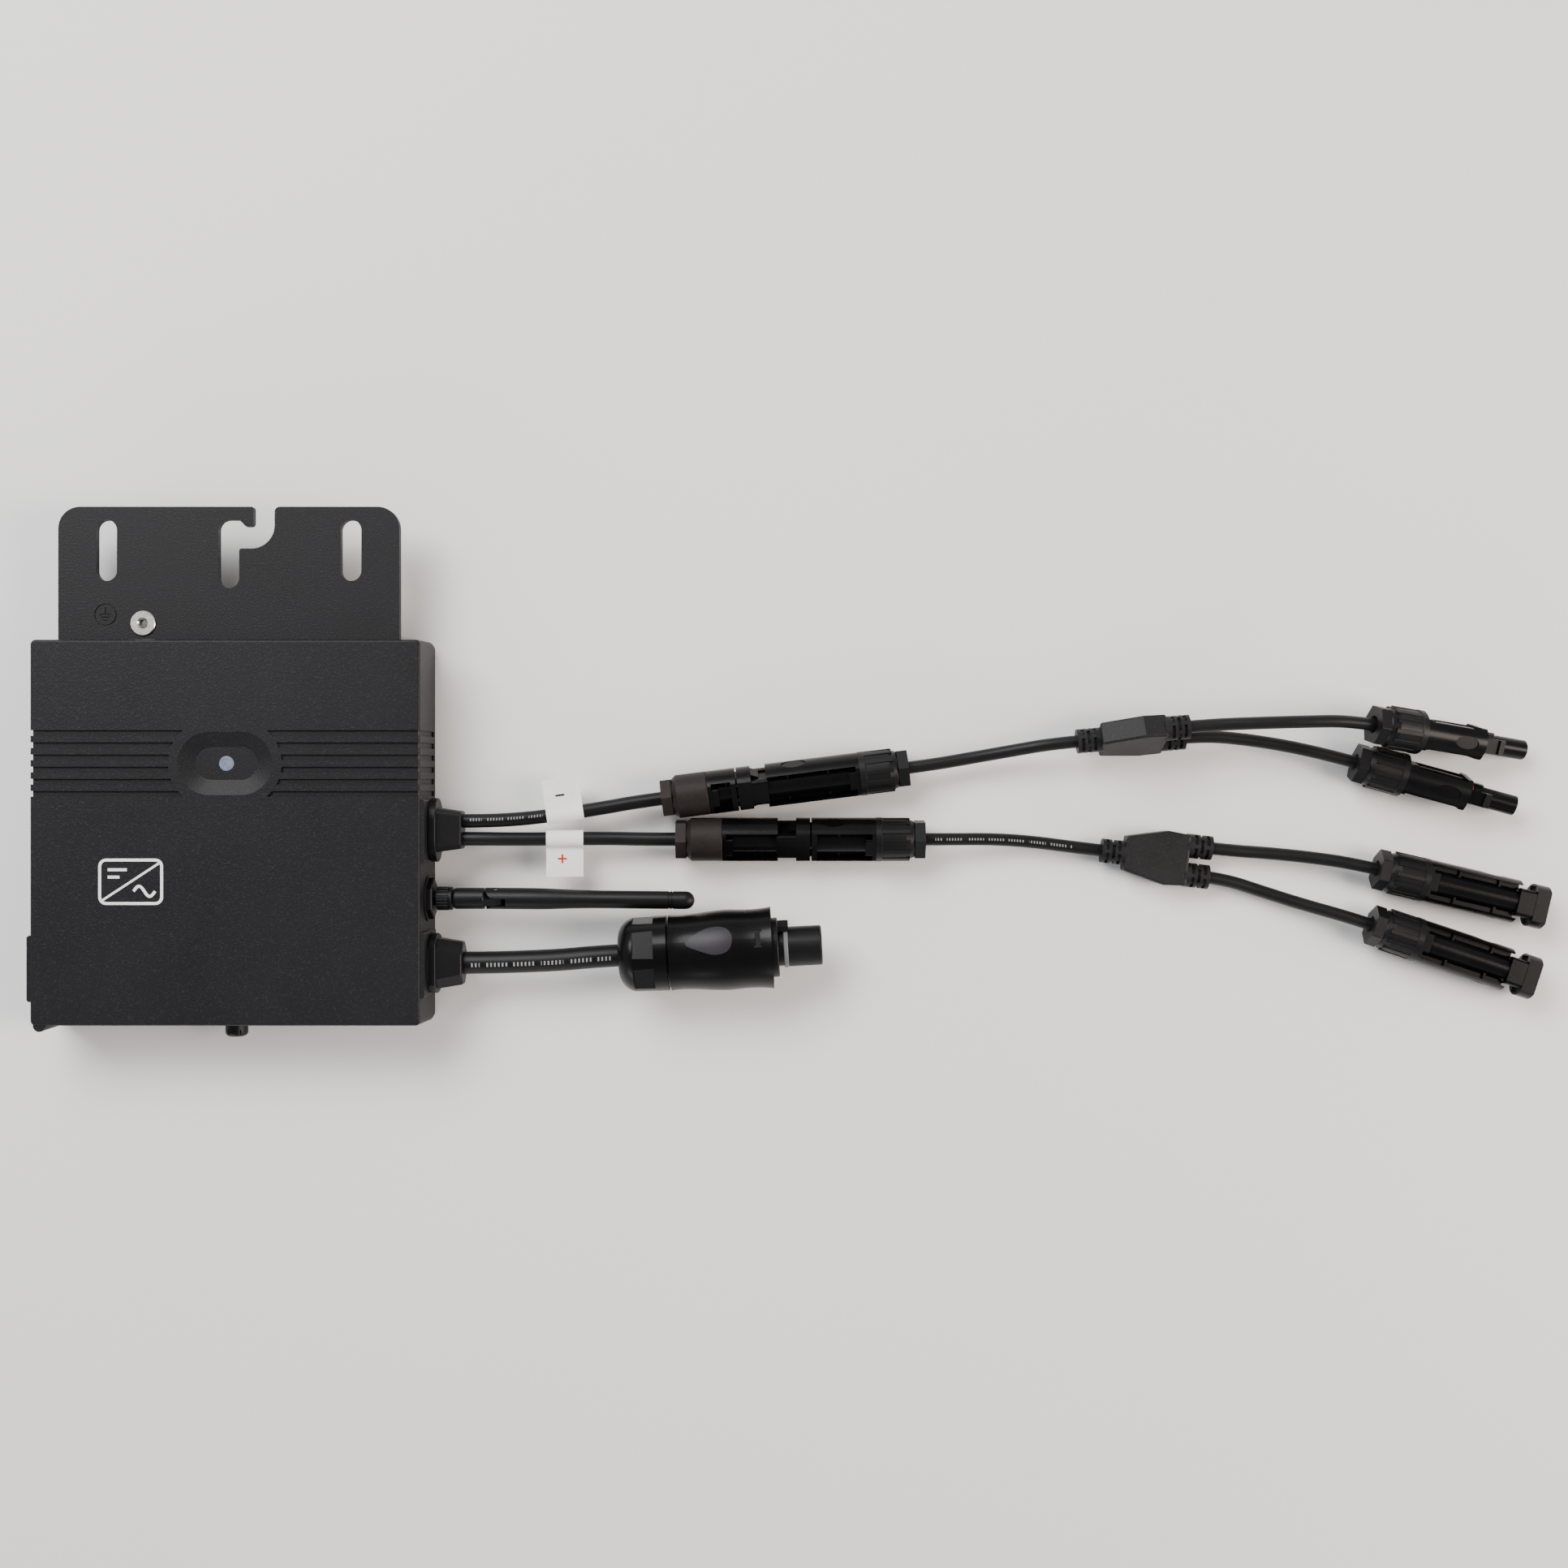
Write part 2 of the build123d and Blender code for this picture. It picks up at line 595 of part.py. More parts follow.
with BuildPart() as internal_leads:
    for y in DC_LEADS_Y:
        add(wire([(LEAD_START, y, PORT_Z), (62, y, PORT_Z), (62, y, BOARD_TOP)], WIRE_R, 3))
    for y in AC_WIRES_Y:
        add(wire([(AC_START, y, PORT_Z), (63, y, PORT_Z), (63, y, BOARD_TOP)], AC_WIRE_R, 3))
save(internal_leads, "internal_leads")

# ================================================================ inside the case

with BuildPart() as circuit_board:
    with BuildSketch(Plane.XY.offset(BOARD_Z)):
        RectangleRounded(138, 136, 3)
        with Locations(*BOARD_POSTS):
            Circle(1.5, mode=Mode.SUBTRACT)
    extrude(amount=BOARD_T)
save(circuit_board, "circuit_board")

with BuildPart() as board_screws:
    with BuildSketch(Plane.XY.offset(BOARD_Z)):
        with Locations(*BOARD_POSTS):
            Circle(2.7)
    extrude(amount=-1.8)
    with BuildSketch(Plane.XY.offset(BOARD_Z)):
        with Locations(*BOARD_POSTS):
            Circle(PILOT_R - CLEAR)
    extrude(amount=8)
save(board_screws, "board_screws")

with BuildPart() as transformers:
    for x in (-26, 26):
        with BuildSketch(Plane.XY.offset(BOARD_TOP)):
            with Locations((x, 22)):
                RectangleRounded(30, 26, 1)
        extrude(amount=14.5)
        with BuildSketch(Plane.XY.offset(BOARD_TOP + 2)):
            with Locations((x, 22)):
                RectangleRounded(19, 36, 7)
        extrude(amount=10.5)
save(transformers, "transformers")

with BuildPart() as bulk_capacitors:
    with BuildSketch(Plane.XY.offset(BOARD_TOP)):
        with Locations((-26, -18)):
            with GridLocations(2 * CAN_R + 1.4, 2 * CAN_R + 1.4, 4, 2):
                Circle(CAN_R)
    extrude(amount=16)
    fillet(bulk_capacitors.edges().group_by(Axis.Z)[-1], 0.8)
save(bulk_capacitors, "bulk_capacitors")

with BuildPart() as power_transistors:
    for x, y in SWITCH_SPOTS:
        with BuildSketch(Plane.XY.offset(LID_IN - THERMAL_T)):
            with Locations((x, y)):
                Rectangle(10.2, 15)
        extrude(amount=-4.6)
        with BuildSketch(Plane.XY.offset(LID_IN - THERMAL_T - 3)):
            with Locations(*[(x + step, y - 6.5) for step in (-2.54, 0, 2.54)]):
                Rectangle(0.9, 0.7)
        extrude(amount=BOARD_TOP - LID_IN + THERMAL_T + 3)
save(power_transistors, "power_transistors")

with BuildPart() as thermal_pads:
    with BuildSketch(Plane.XY.offset(LID_IN - THERMAL_T)):
        with Locations(*SWITCH_SPOTS):
            Rectangle(12, 17)
    extrude(amount=THERMAL_T)
save(thermal_pads, "thermal_pads")

with BuildPart() as output_relays:
    with BuildSketch(Plane.XY.offset(BOARD_TOP)):
        with Locations((36, -42), (36, -56)):
            RectangleRounded(20, 11, 0.8)
    extrude(amount=14.8)
save(output_relays, "output_relays")

with BuildPart() as output_choke:
    with BuildSketch(Plane.XY.offset(BOARD_TOP)):
        with Locations((24, -18)):
            Circle(12.5)
            Circle(4.5, mode=Mode.SUBTRACT)
    extrude(amount=13)
    fillet(output_choke.edges().filter_by(GeomType.CIRCLE), 2.4)
save(output_choke, "output_choke")

with BuildPart() as wireless_module:
    with BuildSketch(Plane.XY.offset(BOARD_TOP)):
        with Locations((55, -24)):
            Rectangle(16, 22)
    extrude(amount=1)
    with BuildSketch(Plane.XY.offset(BOARD_TOP + 1)):
        with Locations((55, -21)):
            RectangleRounded(13, 14, 0.6)
    extrude(amount=2.4)
    coax = [(74, ANTENNA_Y, PORT_Z), (60, ANTENNA_Y, PORT_Z), (60, ANTENNA_Y, BOARD_TOP + 1)]
    add(wire(coax, 0.7, 3))
save(wireless_module, "wireless_module")

# ================================================================ antenna
port = connector_frame((0, ANTENNA_Y, PORT_Z), 0)
swing = connector_frame((HINGE_X, ANTENNA_Y, PORT_Z), 0, roll=HINGE_ROLL)
whip_frame = Plane(
    origin=swing.origin,
    x_dir=swing.x_dir,
    z_dir=swing.z_dir * cos(radians(WHIP_LIFT)) + swing.y_dir * sin(radians(WHIP_LIFT)),
)

with BuildPart() as antenna_base:
    with BuildSketch(port.offset(ANTENNA_SEAT)):
        RegularPolygon(7.5, 6, major_radius=False)
    extrude(amount=HEX_END - ANTENNA_SEAT)
    chamfer(antenna_base.faces().sort_by(Axis.X)[-1].edges(), 0.4)
    add(rod(port, 74, 88, THREAD_R))
    add(rod(port, 79, 89, 2.0), mode=Mode.SUBTRACT)
    add(rod(port, 78, 87, 0.5))
save(antenna_base, "antenna_base")

with BuildPart() as antenna_nut:
    add(turned(port, [
        (NUT_FROM, THREAD_R + CLEAR),
        (NUT_FROM, 4.6),
        (NUT_FROM + 0.4, 4.95),
        (89.4, 4.95),
        (89.5, 4.6),
        (89.8, 4.6),
        (90.0, 4.85),
        (90.6, 4.85),
        (NUT_TO, 4.5),
        (NUT_TO, STEM_R + CLEAR),
        (88.6, STEM_R + CLEAR),
        (88.6, THREAD_R + CLEAR),
    ]))
    with BuildSketch(port.offset(NUT_FROM - 0.2)):
        with PolarLocations(5.15, 24):
            Circle(0.42)
    extrude(amount=5.2, mode=Mode.SUBTRACT)
save(antenna_nut, "antenna_nut")

with BuildPart() as antenna_collar:
    add(turned(port, [
        (88.8, 0),
        (88.8, STEM_R),
        (91.4, STEM_R),
        (91.4, 3.9),
        (91.9, 4.3),
        (92.3, 4.45),
        (103.8, 4.45),
        (COLLAR_TO, 4.2),
        (COLLAR_TO, 0),
    ]))
    with BuildSketch(lengthwise(swing).offset(-TONGUE_T / 2)):
        Circle(TONGUE_R)
        with Locations((-2.6, 0)):
            Rectangle(5.2, 2 * TONGUE_R)
    extrude(amount=TONGUE_T)
    with BuildSketch(lengthwise(swing).offset(-TONGUE_T)):
        Circle(HINGE_PIN_R)
    extrude(amount=2 * TONGUE_T, mode=Mode.SUBTRACT)
save(antenna_collar, "antenna_collar")

with BuildPart() as antenna_hinge_pin:
    with BuildSketch(lengthwise(swing).offset(-4.1)):
        Circle(HINGE_PIN_R)
    extrude(amount=8.2)
save(antenna_hinge_pin, "antenna_hinge_pin")

# Side view of the whip: its hinged end is rounded about the pin.
with BuildPart() as whip_side:
    with BuildSketch(lengthwise(whip_frame).offset(-6)):
        Circle(ANTENNA_R - 0.1)
        with Locations((WHIP_TIP / 2 + 1, 0)):
            Rectangle(WHIP_TIP + 2, 12)
    extrude(amount=12)

with BuildPart() as antenna_whip:
    with BuildSketch(lengthwise(whip_frame)):
        with BuildLine():
            Polyline((-5, 0), (-5, ANTENNA_R), (16, ANTENNA_R))
            Spline((16, ANTENNA_R), (30, 4.05), (44, TIP_R), tangents=[(1, 0), (1, 0)])
            Polyline(
                (44, TIP_R),
                (72.2, TIP_R),
                (72.3, TIP_R - 0.3),
                (72.8, TIP_R - 0.3),
                (72.9, TIP_R),
                (73.5, TIP_R),
                (73.6, TIP_R - 0.3),
                (74.1, TIP_R - 0.3),
                (74.2, TIP_R),
                (WHIP_TIP - TIP_R, TIP_R),
            )
            RadiusArc((WHIP_TIP - TIP_R, TIP_R), (WHIP_TIP, 0), TIP_R)
            Line((WHIP_TIP, 0), (-5, 0))
        make_face()
    revolve(axis=Axis(whip_frame.origin, whip_frame.z_dir))
    add(whip_side.part, mode=Mode.INTERSECT)
    # Slot for the collar's tongue, open above and below, and the pin's hole.
    with BuildSketch(lengthwise(whip_frame).offset(-TONGUE_T / 2 - 0.15)):
        with Locations((-0.4, 0)):
            Rectangle(9.6, 12)
    extrude(amount=TONGUE_T + 0.3, mode=Mode.SUBTRACT)
    with BuildSketch(lengthwise(whip_frame).offset(-6)):
        Circle(HINGE_PIN_R + CLEAR)
    extrude(amount=12, mode=Mode.SUBTRACT)
save(antenna_whip, "antenna_whip")

# ================================================================ solar connectors

def flatted_round(radius):
    """Round profile with a flat above and below."""
    with BuildSketch() as profile:
        Circle(radius)
        Rectangle(2 * radius, 2 * PV_FLAT, mode=Mode.INTERSECT)
    return profile.sketch


def cheeked_bar(frame, near, far):
    """Round bar with a trough above and below, `near` to `far` behind the face."""
    ribs = max(1, round((far - near) / 20))
    spacing = (far - near - 5) / ribs
    with BuildPart() as bar:
        with BuildSketch(frame.offset(-far)):
            add(flatted_round(PV_R))
            Rectangle(2 * CHEEK_X, 2 * PV_R, mode=Mode.SUBTRACT)
            Circle(CORE_R)
            Rectangle(2 * CHEEK_X + 0.4, 2 * WEB)
        extrude(amount=far - near)
        for i in range(ribs):
            with BuildSketch(frame.offset(-near - (i + 0.5) * spacing)):
                Rectangle(2 * CHEEK_X + 0.4, 2 * CORE_R - 4.0)
            extrude(amount=-0.9)
        # Closed end and a square block next to the nut.
        with BuildSketch(frame.offset(-far)):
            add(flatted_round(PV_R))
        extrude(amount=1.6)
        with BuildSketch(frame.offset(-far + 1.6)):
            RectangleRounded(8.6, 2 * PV_FLAT - 0.5, 0.8)
        extrude(amount=2.8)
    return bar.part


def grips(frame, along):
    """Two oval prisms that sink a shallow finger recess into each cheek."""
    with BuildPart() as ovals:
        for side in (-1, 1):
            wall = Plane(
                origin=point_on(frame, -along, side * (PV_R + 1)),
                x_dir=frame.z_dir,
                z_dir=frame.x_dir * -side,
            )
            with BuildSketch(wall):
                Ellipse(5.2, 2.7)
            extrude(amount=1.45)
    return ovals.part


def plug_shell(frame, body):
    """Housing with the nose: barrel, round nose, two latch prongs and a key."""
    bar = cheeked_bar(frame, 0, body)
    ovals = grips(frame, 9)
    with BuildPart() as shell:
        add(bar)
        with BuildSketch(frame.offset(-2.2)):
            add(flatted_round(PV_R))
        extrude(amount=2.2)
        if body > 20:
            add(ovals, mode=Mode.SUBTRACT)
        with BuildSketch(frame):
            Circle(NOSE_R)
        extrude(amount=NOSE_L)
        with BuildSketch(flatwise(frame).offset(-3)):
            for side in (-1, 1):
                with BuildLine():
                    Polyline(
                        (-1, side * 5.4),
                        (PRONG_L, side * 5.4),
                        (PRONG_L, side * 6.3),
                        (6.6, side * 7.8),
                        (6.4, side * 6.8),
                        (-1, side * 6.8),
                        close=True,
                    )
                make_face()
        extrude(amount=6)
        with BuildSketch(frame.offset(2.2)):
            with Locations((0, NOSE_R)):
                Rectangle(3.0, 1.6)
        extrude(amount=4.3)
        with BuildSketch(frame.offset(NOSE_L)):
            Circle(TUBE_R + CLEAR)
        extrude(amount=4 - NOSE_L, mode=Mode.SUBTRACT)
        with BuildSketch(frame.offset(-body)):
            Circle(CRIMP_R + CLEAR)
        extrude(amount=body + 5, mode=Mode.SUBTRACT)
    return shell


def socket_shell(frame, body, notch):
    """Housing with the mouth: full-width lip, side notches and the cheeked body."""
    back = T_END + notch + body
    bar = cheeked_bar(frame, T_END + notch, back)
    ovals = grips(frame, T_END + notch + 12)
    with BuildPart() as shell:
        with BuildSketch(frame):
            add(flatted_round(PV_R))
        extrude(amount=-T_END)
        add(bar)
        if body > 30:
            add(ovals, mode=Mode.SUBTRACT)
        with BuildSketch(frame.offset(-T_END)):
            RectangleRounded(11.8, 2 * PV_FLAT - 0.4, 1.5)
        extrude(amount=-notch - 0.5)
        # Channels for the prongs and the key, the bore, the seal's seat and the crimp.
        with BuildSketch(frame):
            with Locations((-6.65, 0), (6.65, 0)):
                Rectangle(3.1, 6.6)
            with Locations((0, NOSE_R)):
                Rectangle(3.6, 2.4)
        extrude(amount=-T_END - notch - 0.6, mode=Mode.SUBTRACT)
        with BuildSketch(frame):
            Circle(MOUTH_R)
        extrude(amount=-MOUTH_L, mode=Mode.SUBTRACT)
        with BuildSketch(frame):
            Circle(SEAL_R + 0.3)
        extrude(amount=-2.4, mode=Mode.SUBTRACT)
        with BuildSketch(frame.offset(-back)):
            Circle(CRIMP_R + CLEAR)
        extrude(amount=back - MOUTH_L + 1, mode=Mode.SUBTRACT)
    return shell


def nut_bores(frame, start, length, cord_d):
    """Everything cut from a nut: cord bore with a funnel, and room for the crimp."""
    end = start + length
    cord_r = cord_d / 2 + CLEAR
    stop = start + CORD_STOP
    return turned(frame, [
        (-end - 1, 0),
        (-end - 1, cord_r + 2.4),
        (-end, cord_r + 1.4),
        (-end + 2.2, cord_r),
        (-stop, cord_r),
        (-stop, CRIMP_R + CLEAR),
        (-start + 1, CRIMP_R + CLEAR),
        (-start + 1, 0),
    ])


def hex_end(frame, start):
    """Hexagon that a spanner holds, behind a nut."""
    with BuildPart() as hexagon:
        with BuildSketch(frame.offset(-start)):
            RegularPolygon(HEX_AF / 2, 6, major_radius=False)
        extrude(amount=-HEX_L)
        fillet(hexagon.edges().filter_by(lambda e: abs(e.tangent_at(0).dot(frame.z_dir)) > 0.9), 0.5)
    return hexagon.part


def ribbed_nut(frame, start):
    """Gland nut of the adapter's connectors: twelve raised ribs, then a hexagon."""
    bores = nut_bores(frame, start, NUT_L + HEX_L, LEAD_D)
    hexagon = hex_end(frame, start + NUT_L - 0.5)
    with BuildPart() as nut:
        add(turned(frame, [
            (-start, 0),
            (-start, NUT_R),
            (-start - 2.4, NUT_R),
            (-start - 2.8, NUT_R - 0.5),
            (-start - 12.6, NUT_R - 0.6),
            (-start - NUT_L + 1.0, NUT_R - 1.6),
            (-start - NUT_L, NUT_R - 2.4),
            (-start - NUT_L, 0),
        ]))
        with BuildSketch(frame.offset(-start - 14.2)):
            with PolarLocations(NUT_R - 0.95, 12):
                RectangleRounded(1.5, 2.0, 0.3)
        extrude(amount=12)
        add(hexagon)
        add(bores, mode=Mode.SUBTRACT)
    return nut.part


def smooth_cap(frame, start):
    """Plain cap of the inverter's own connectors: barrel, cone, hexagon."""
    bores = nut_bores(frame, start, CAP_L + HEX_L, DC_D)
    hexagon = hex_end(frame, start + CAP_L)
    with BuildPart() as cap:
        add(turned(frame, [
            (-start, 0),
            (-start, CAP_R - 0.2),
            (-start - 0.3, CAP_R),
            (-start - CAP_L + 2.2, CAP_R),
            (-start - CAP_L, CAP_R - 1.9),
            (-start - CAP_L, 0),
        ]))
        add(hexagon)
        add(bores, mode=Mode.SUBTRACT)
    return cap


def seal_ring(frame):
    """Seal round the root of a nose."""
    return turned(frame, [(0.7, NOSE_R), (0.7, SEAL_R - 0.2), (0.9, SEAL_R), (1.8, SEAL_R),
                          (2.0, SEAL_R - 0.2), (2.0, NOSE_R)])


def tube_contact(frame, body):
    """Crimped contact that ends in a spring tube inside the nose."""
    return turned(frame, [
        (-body - CORD_STOP, 0),
        (-body - CORD_STOP, CRIMP_R),
        (4.1, CRIMP_R),
        (4.1, TUBE_R),
        (NOSE_L - 2.2, TUBE_R),
        (NOSE_L - 2.2, TUBE_BORE_R),
        (6.0, TUBE_BORE_R),
        (6.0, 0),
    ])


def pin_contact(frame, back):
    """Crimped contact that ends in a pin inside the mouth."""
    return turned(frame, [
        (-back - CORD_STOP, 0),
        (-back - CORD_STOP, CRIMP_R),
        (-MOUTH_L - 0.1, CRIMP_R),
        (-MOUTH_L - 0.1, PIN_R),
        (-PIN_TIP - 0.8, PIN_R),
        (-PIN_TIP, PIN_R - 0.8),
        (-PIN_TIP, 0),
    ])


SHORT_BACK = T_END + NOTCH_SHORT + SOCKET_SHORT
LONG_BACK = T_END + NOTCH_LONG + SOCKET_LONG
minus_socket_frame = connector_frame(MINUS_MOUTH, MINUS_HEADING + 180, roll=-MINUS_ROLL)
minus_line = connector_frame(MINUS_MOUTH, MINUS_HEADING, roll=MINUS_ROLL)
minus_plug_frame = minus_line.offset(-MATED_GAP)
plus_socket_frame = connector_frame(PLUS_MOUTH, 0, roll=PLUS_ROLL)
plus_plug_frame = connector_frame(
    (PLUS_MOUTH[0] + MATED_GAP, PLUS_MOUTH[1], PLUS_MOUTH[2]), 180, roll=-PLUS_ROLL
)
upper_plug_frame = connector_frame(BRANCH_PLUG_UPPER, -8.8, -11.5, -80)
lower_plug_frame = connector_frame(BRANCH_PLUG_LOWER, -15.3, 0, -75)
upper_socket_frame = connector_frame(BRANCH_SOCKET_UPPER, -13.2)
lower_socket_frame = connector_frame(BRANCH_SOCKET_LOWER, -18.4)

save(plug_shell(minus_plug_frame, PLUG_SHORT), "minus_plug")
save(smooth_cap(minus_plug_frame, PLUG_SHORT), "minus_plug_cap")
save(socket_shell(plus_socket_frame, SOCKET_SHORT, NOTCH_SHORT), "plus_socket")
save(smooth_cap(plus_socket_frame, SHORT_BACK), "plus_socket_cap")
save(socket_shell(minus_socket_frame, SOCKET_LONG, NOTCH_LONG), "minus_adapter_socket")
save(plug_shell(plus_plug_frame, PLUG_LONG), "plus_adapter_plug")
save(socket_shell(upper_socket_frame, SOCKET_LONG, NOTCH_LONG), "plus_branch_socket_upper")
save(socket_shell(lower_socket_frame, SOCKET_LONG, NOTCH_LONG), "plus_branch_socket_lower")

with BuildPart() as minus_branch_plugs:
    add(plug_shell(upper_plug_frame, PLUG_LONG).part)
    add(plug_shell(lower_plug_frame, PLUG_LONG).part)
save(minus_branch_plugs, "minus_branch_plugs")

with BuildPart() as minus_plug_seal:
    add(seal_ring(minus_plug_frame))
save(minus_plug_seal, "minus_plug_seal")

with BuildPart() as minus_branch_seals:
    add(seal_ring(upper_plug_frame))
    add(seal_ring(lower_plug_frame))
save(minus_branch_seals, "minus_branch_seals")

with BuildPart() as plus_adapter_seal:
    add(seal_ring(plus_plug_frame))
save(plus_adapter_seal, "plus_adapter_seal")

with BuildPart() as lead_contacts:
    add(tube_contact(minus_plug_frame, PLUG_SHORT))
    add(pin_contact(plus_socket_frame, SHORT_BACK))
save(lead_contacts, "lead_contacts")

with BuildPart() as minus_adapter_contacts:
    add(pin_contact(minus_socket_frame, LONG_BACK))
    add(tube_contact(upper_plug_frame, PLUG_LONG))
    add(tube_contact(lower_plug_frame, PLUG_LONG))
save(minus_adapter_contacts, "minus_adapter_contacts")

with BuildPart() as plus_adapter_contacts:
    add(tube_contact(plus_plug_frame, PLUG_LONG))
    add(pin_contact(upper_socket_frame, LONG_BACK))
    add(pin_contact(lower_socket_frame, LONG_BACK))
save(plus_adapter_contacts, "plus_adapter_contacts")

with BuildPart() as minus_adapter_nuts:
    add(ribbed_nut(minus_socket_frame, LONG_BACK))
    add(ribbed_nut(upper_plug_frame, PLUG_LONG))
    add(ribbed_nut(lower_plug_frame, PLUG_LONG))
save(minus_adapter_nuts, "minus_adapter_nuts")

with BuildPart() as plus_adapter_nuts:
    add(ribbed_nut(plus_plug_frame, PLUG_LONG))
    add(ribbed_nut(upper_socket_frame, LONG_BACK))
    add(ribbed_nut(lower_socket_frame, LONG_BACK))
save(plus_adapter_nuts, "plus_adapter_nuts")

# ================================================================ splitters

def relief(frame, start, end):
    """Slotted strain relief, a bar with ring grooves bridged by four webs."""
    way = 1 if end > start else -1
    with BuildPart() as boot:
        add(rod(frame, start, end, RELIEF_R))
        for i in range(3):
            near = end - way * (1.5 + 2.5 * i)
            with BuildSketch(frame.offset(near)):
                Circle(RELIEF_R + 1)
                Circle(RELIEF_R - 1.1, mode=Mode.SUBTRACT)
                with PolarLocations(RELIEF_R, 4, start_angle=45 * (i % 2)):
                    Rectangle(3.4, 1.6, mode=Mode.SUBTRACT)
            extrude(amount=-way * 1.3, mode=Mode.SUBTRACT)
    return boot.part


def splitter(frame):
    """Moulded Y block: one relief behind, two side by side in front."""
    outlets = [
        Plane(origin=point_on(frame, 0, side), x_dir=frame.x_dir, z_dir=frame.z_dir)
        for side in (-OUTLET_STEP, OUTLET_STEP)
    ]
    end = SPLIT_HALF + RELIEF_L
    with BuildPart() as block:
        with BuildSketch(flatwise(frame).offset(-SPLIT_T / 2)):
            with BuildLine():
                Polyline(
                    (-SPLIT_HALF, -7.3),
                    (4, -11.5),
                    (SPLIT_HALF, -10.7),
                    (SPLIT_HALF, 10.7),
                    (4, 11.5),
                    (-SPLIT_HALF, 7.3),
                    close=True,
                )
            make_face()
        extrude(amount=SPLIT_T)
        fillet(block.edges(), 1.0)
        add(relief(frame, -SPLIT_HALF + 1, -end))
        for outlet in outlets:
            add(relief(outlet, SPLIT_HALF - 1, end))
        add(rod(frame, -end - 1, RELIEF_BORE - end, LEAD_D / 2 + CLEAR), mode=Mode.SUBTRACT)
        for outlet in outlets:
            add(rod(outlet, end - RELIEF_BORE, end + 1, LEAD_D / 2 + CLEAR), mode=Mode.SUBTRACT)
    return block


minus_split_frame = connector_frame(MINUS_SPLIT, MINUS_SPLIT_HEADING, roll=MINUS_SPLIT_ROLL)
plus_split_frame = connector_frame(PLUS_SPLIT, PLUS_SPLIT_HEADING)
save(splitter(minus_split_frame), "minus_splitter")
save(splitter(plus_split_frame), "plus_splitter")

# ================================================================ cords

cord_tube("minus_lead", [
    (LEAD_START, DC_LEADS_Y[0], PORT_Z),
    (102.0, 4.5, 15.2),
    (118.4, 5.2, 13.6),
    (135.2, 7.2, 11.5),
    (151.5, 9.6, 9.9),
    (168.72, 12.75, 9.35),
    (185.09, 14.79, 9.35),
], DC_D)

cord_tube("plus_lead", [
    (LEAD_START, DC_LEADS_Y[1], PORT_Z),
    (102.0, -2.9, 15.2),
    (118.4, -3.1, 13.5),
    (136.5, -3.0, 11.3),
    (155.0, -2.9, 9.6),
    (174.0, -3.3, 9.35),
    (191.0, -3.3, 9.35),
], DC_D)

cord_tube("ac_lead", [
    (AC_START, AC_Y, PORT_Z),
    (101.5, -54.8, 15.2),
    (118.8, -54.3, 15.8),
    (136.0, -53.5, 16.6),
    (152.11, -51.94, 17.2),
    (167.99, -51.11, 17.2),
], AC_D)

cord_tube("minus_adapter_lead", [
    (273.51, 25.80, 9.35),
    (290.98, 27.97, 9.35),
    (309.5, 31.2, 8.6),
    (326.5, 34.2, 10.4),
    (342.32, 36.98, 13.2),
    (358.26, 38.35, 13.2),
], LEAD_D)

cord_tube("minus_branch_lead_upper", [
    (391.96, 43.35, 18.98),
    (406.90, 44.63, 18.98),
    (424.5, 45.3, 20.8),
    (446.0, 45.9, 22.3),
    (465.41, 46.23, 21.40),
    (482.55, 43.57, 17.88),
], LEAD_D)

cord_tube("minus_branch_lead_lower", [
    (392.32, 39.16, 7.42),
    (407.26, 40.44, 7.42),
    (426.0, 38.7, 6.9),
    (443.5, 35.8, 7.3),
    (460.83, 31.69, 9.35),
    (477.90, 27.02, 9.35),
], LEAD_D)

cord_tube("plus_adapter_lead", [
    (280.5, -3.3, 9.35),
    (298.5, -3.3, 9.35),
    (316.6, -3.2, 7.3),
    (333.9, -4.3, 5.6),
    (353.81, -6.96, 5.6),
    (369.71, -8.78, 5.6),
], LEAD_D)

cord_tube("plus_branch_lead_upper", [
    (404.19, -6.51, 5.6),
    (419.09, -8.21, 5.6),
    (435.0, -9.3, 5.2),
    (452.0, -11.0, 6.6),
    (469.85, -13.59, 9.35),
    (486.99, -17.61, 9.35),
], LEAD_D)

cord_tube("plus_branch_lead_lower", [
    (402.79, -18.73, 5.6),
    (415.71, -20.21, 5.6),
    (431.5, -25.4, 5.3),
    (449.0, -31.0, 6.8),
    (467.67, -36.18, 9.35),
    (484.37, -41.73, 9.35),
], LEAD_D)

# Folded paper flags round the inverter's solar leads: a band and a leaf to one side.
with BuildPart() as lead_labels:
    for middle, heading, pitch, reach in (
        ((137.3, 7.5, 11.3), 8.2, -5.5, 15.0),
        ((137.2, -3.0, 11.3), 0.3, -6.0, -16.0),
    ):
        label_frame = connector_frame(middle, heading, pitch)
        inner = 3.4 if reach > 0 else -3.4
        with BuildSketch(label_frame.offset(-7.75)):
            Circle(3.6)
            Circle(3.3, mode=Mode.SUBTRACT)
            with Locations(((inner + reach) / 2, 0)):
                Rectangle(abs(reach - inner), 0.6)
        extrude(amount=15.5)
save(lead_labels, "lead_labels")

# ================================================================ mains plug

ac_plug_frame = connector_frame(AC_BACK, AC_HEADING, roll=AC_ROLL)
tab_frame = connector_frame(AC_BACK, AC_HEADING, roll=AC_ROLL - 44)
over_plug = flatwise(ac_plug_frame)


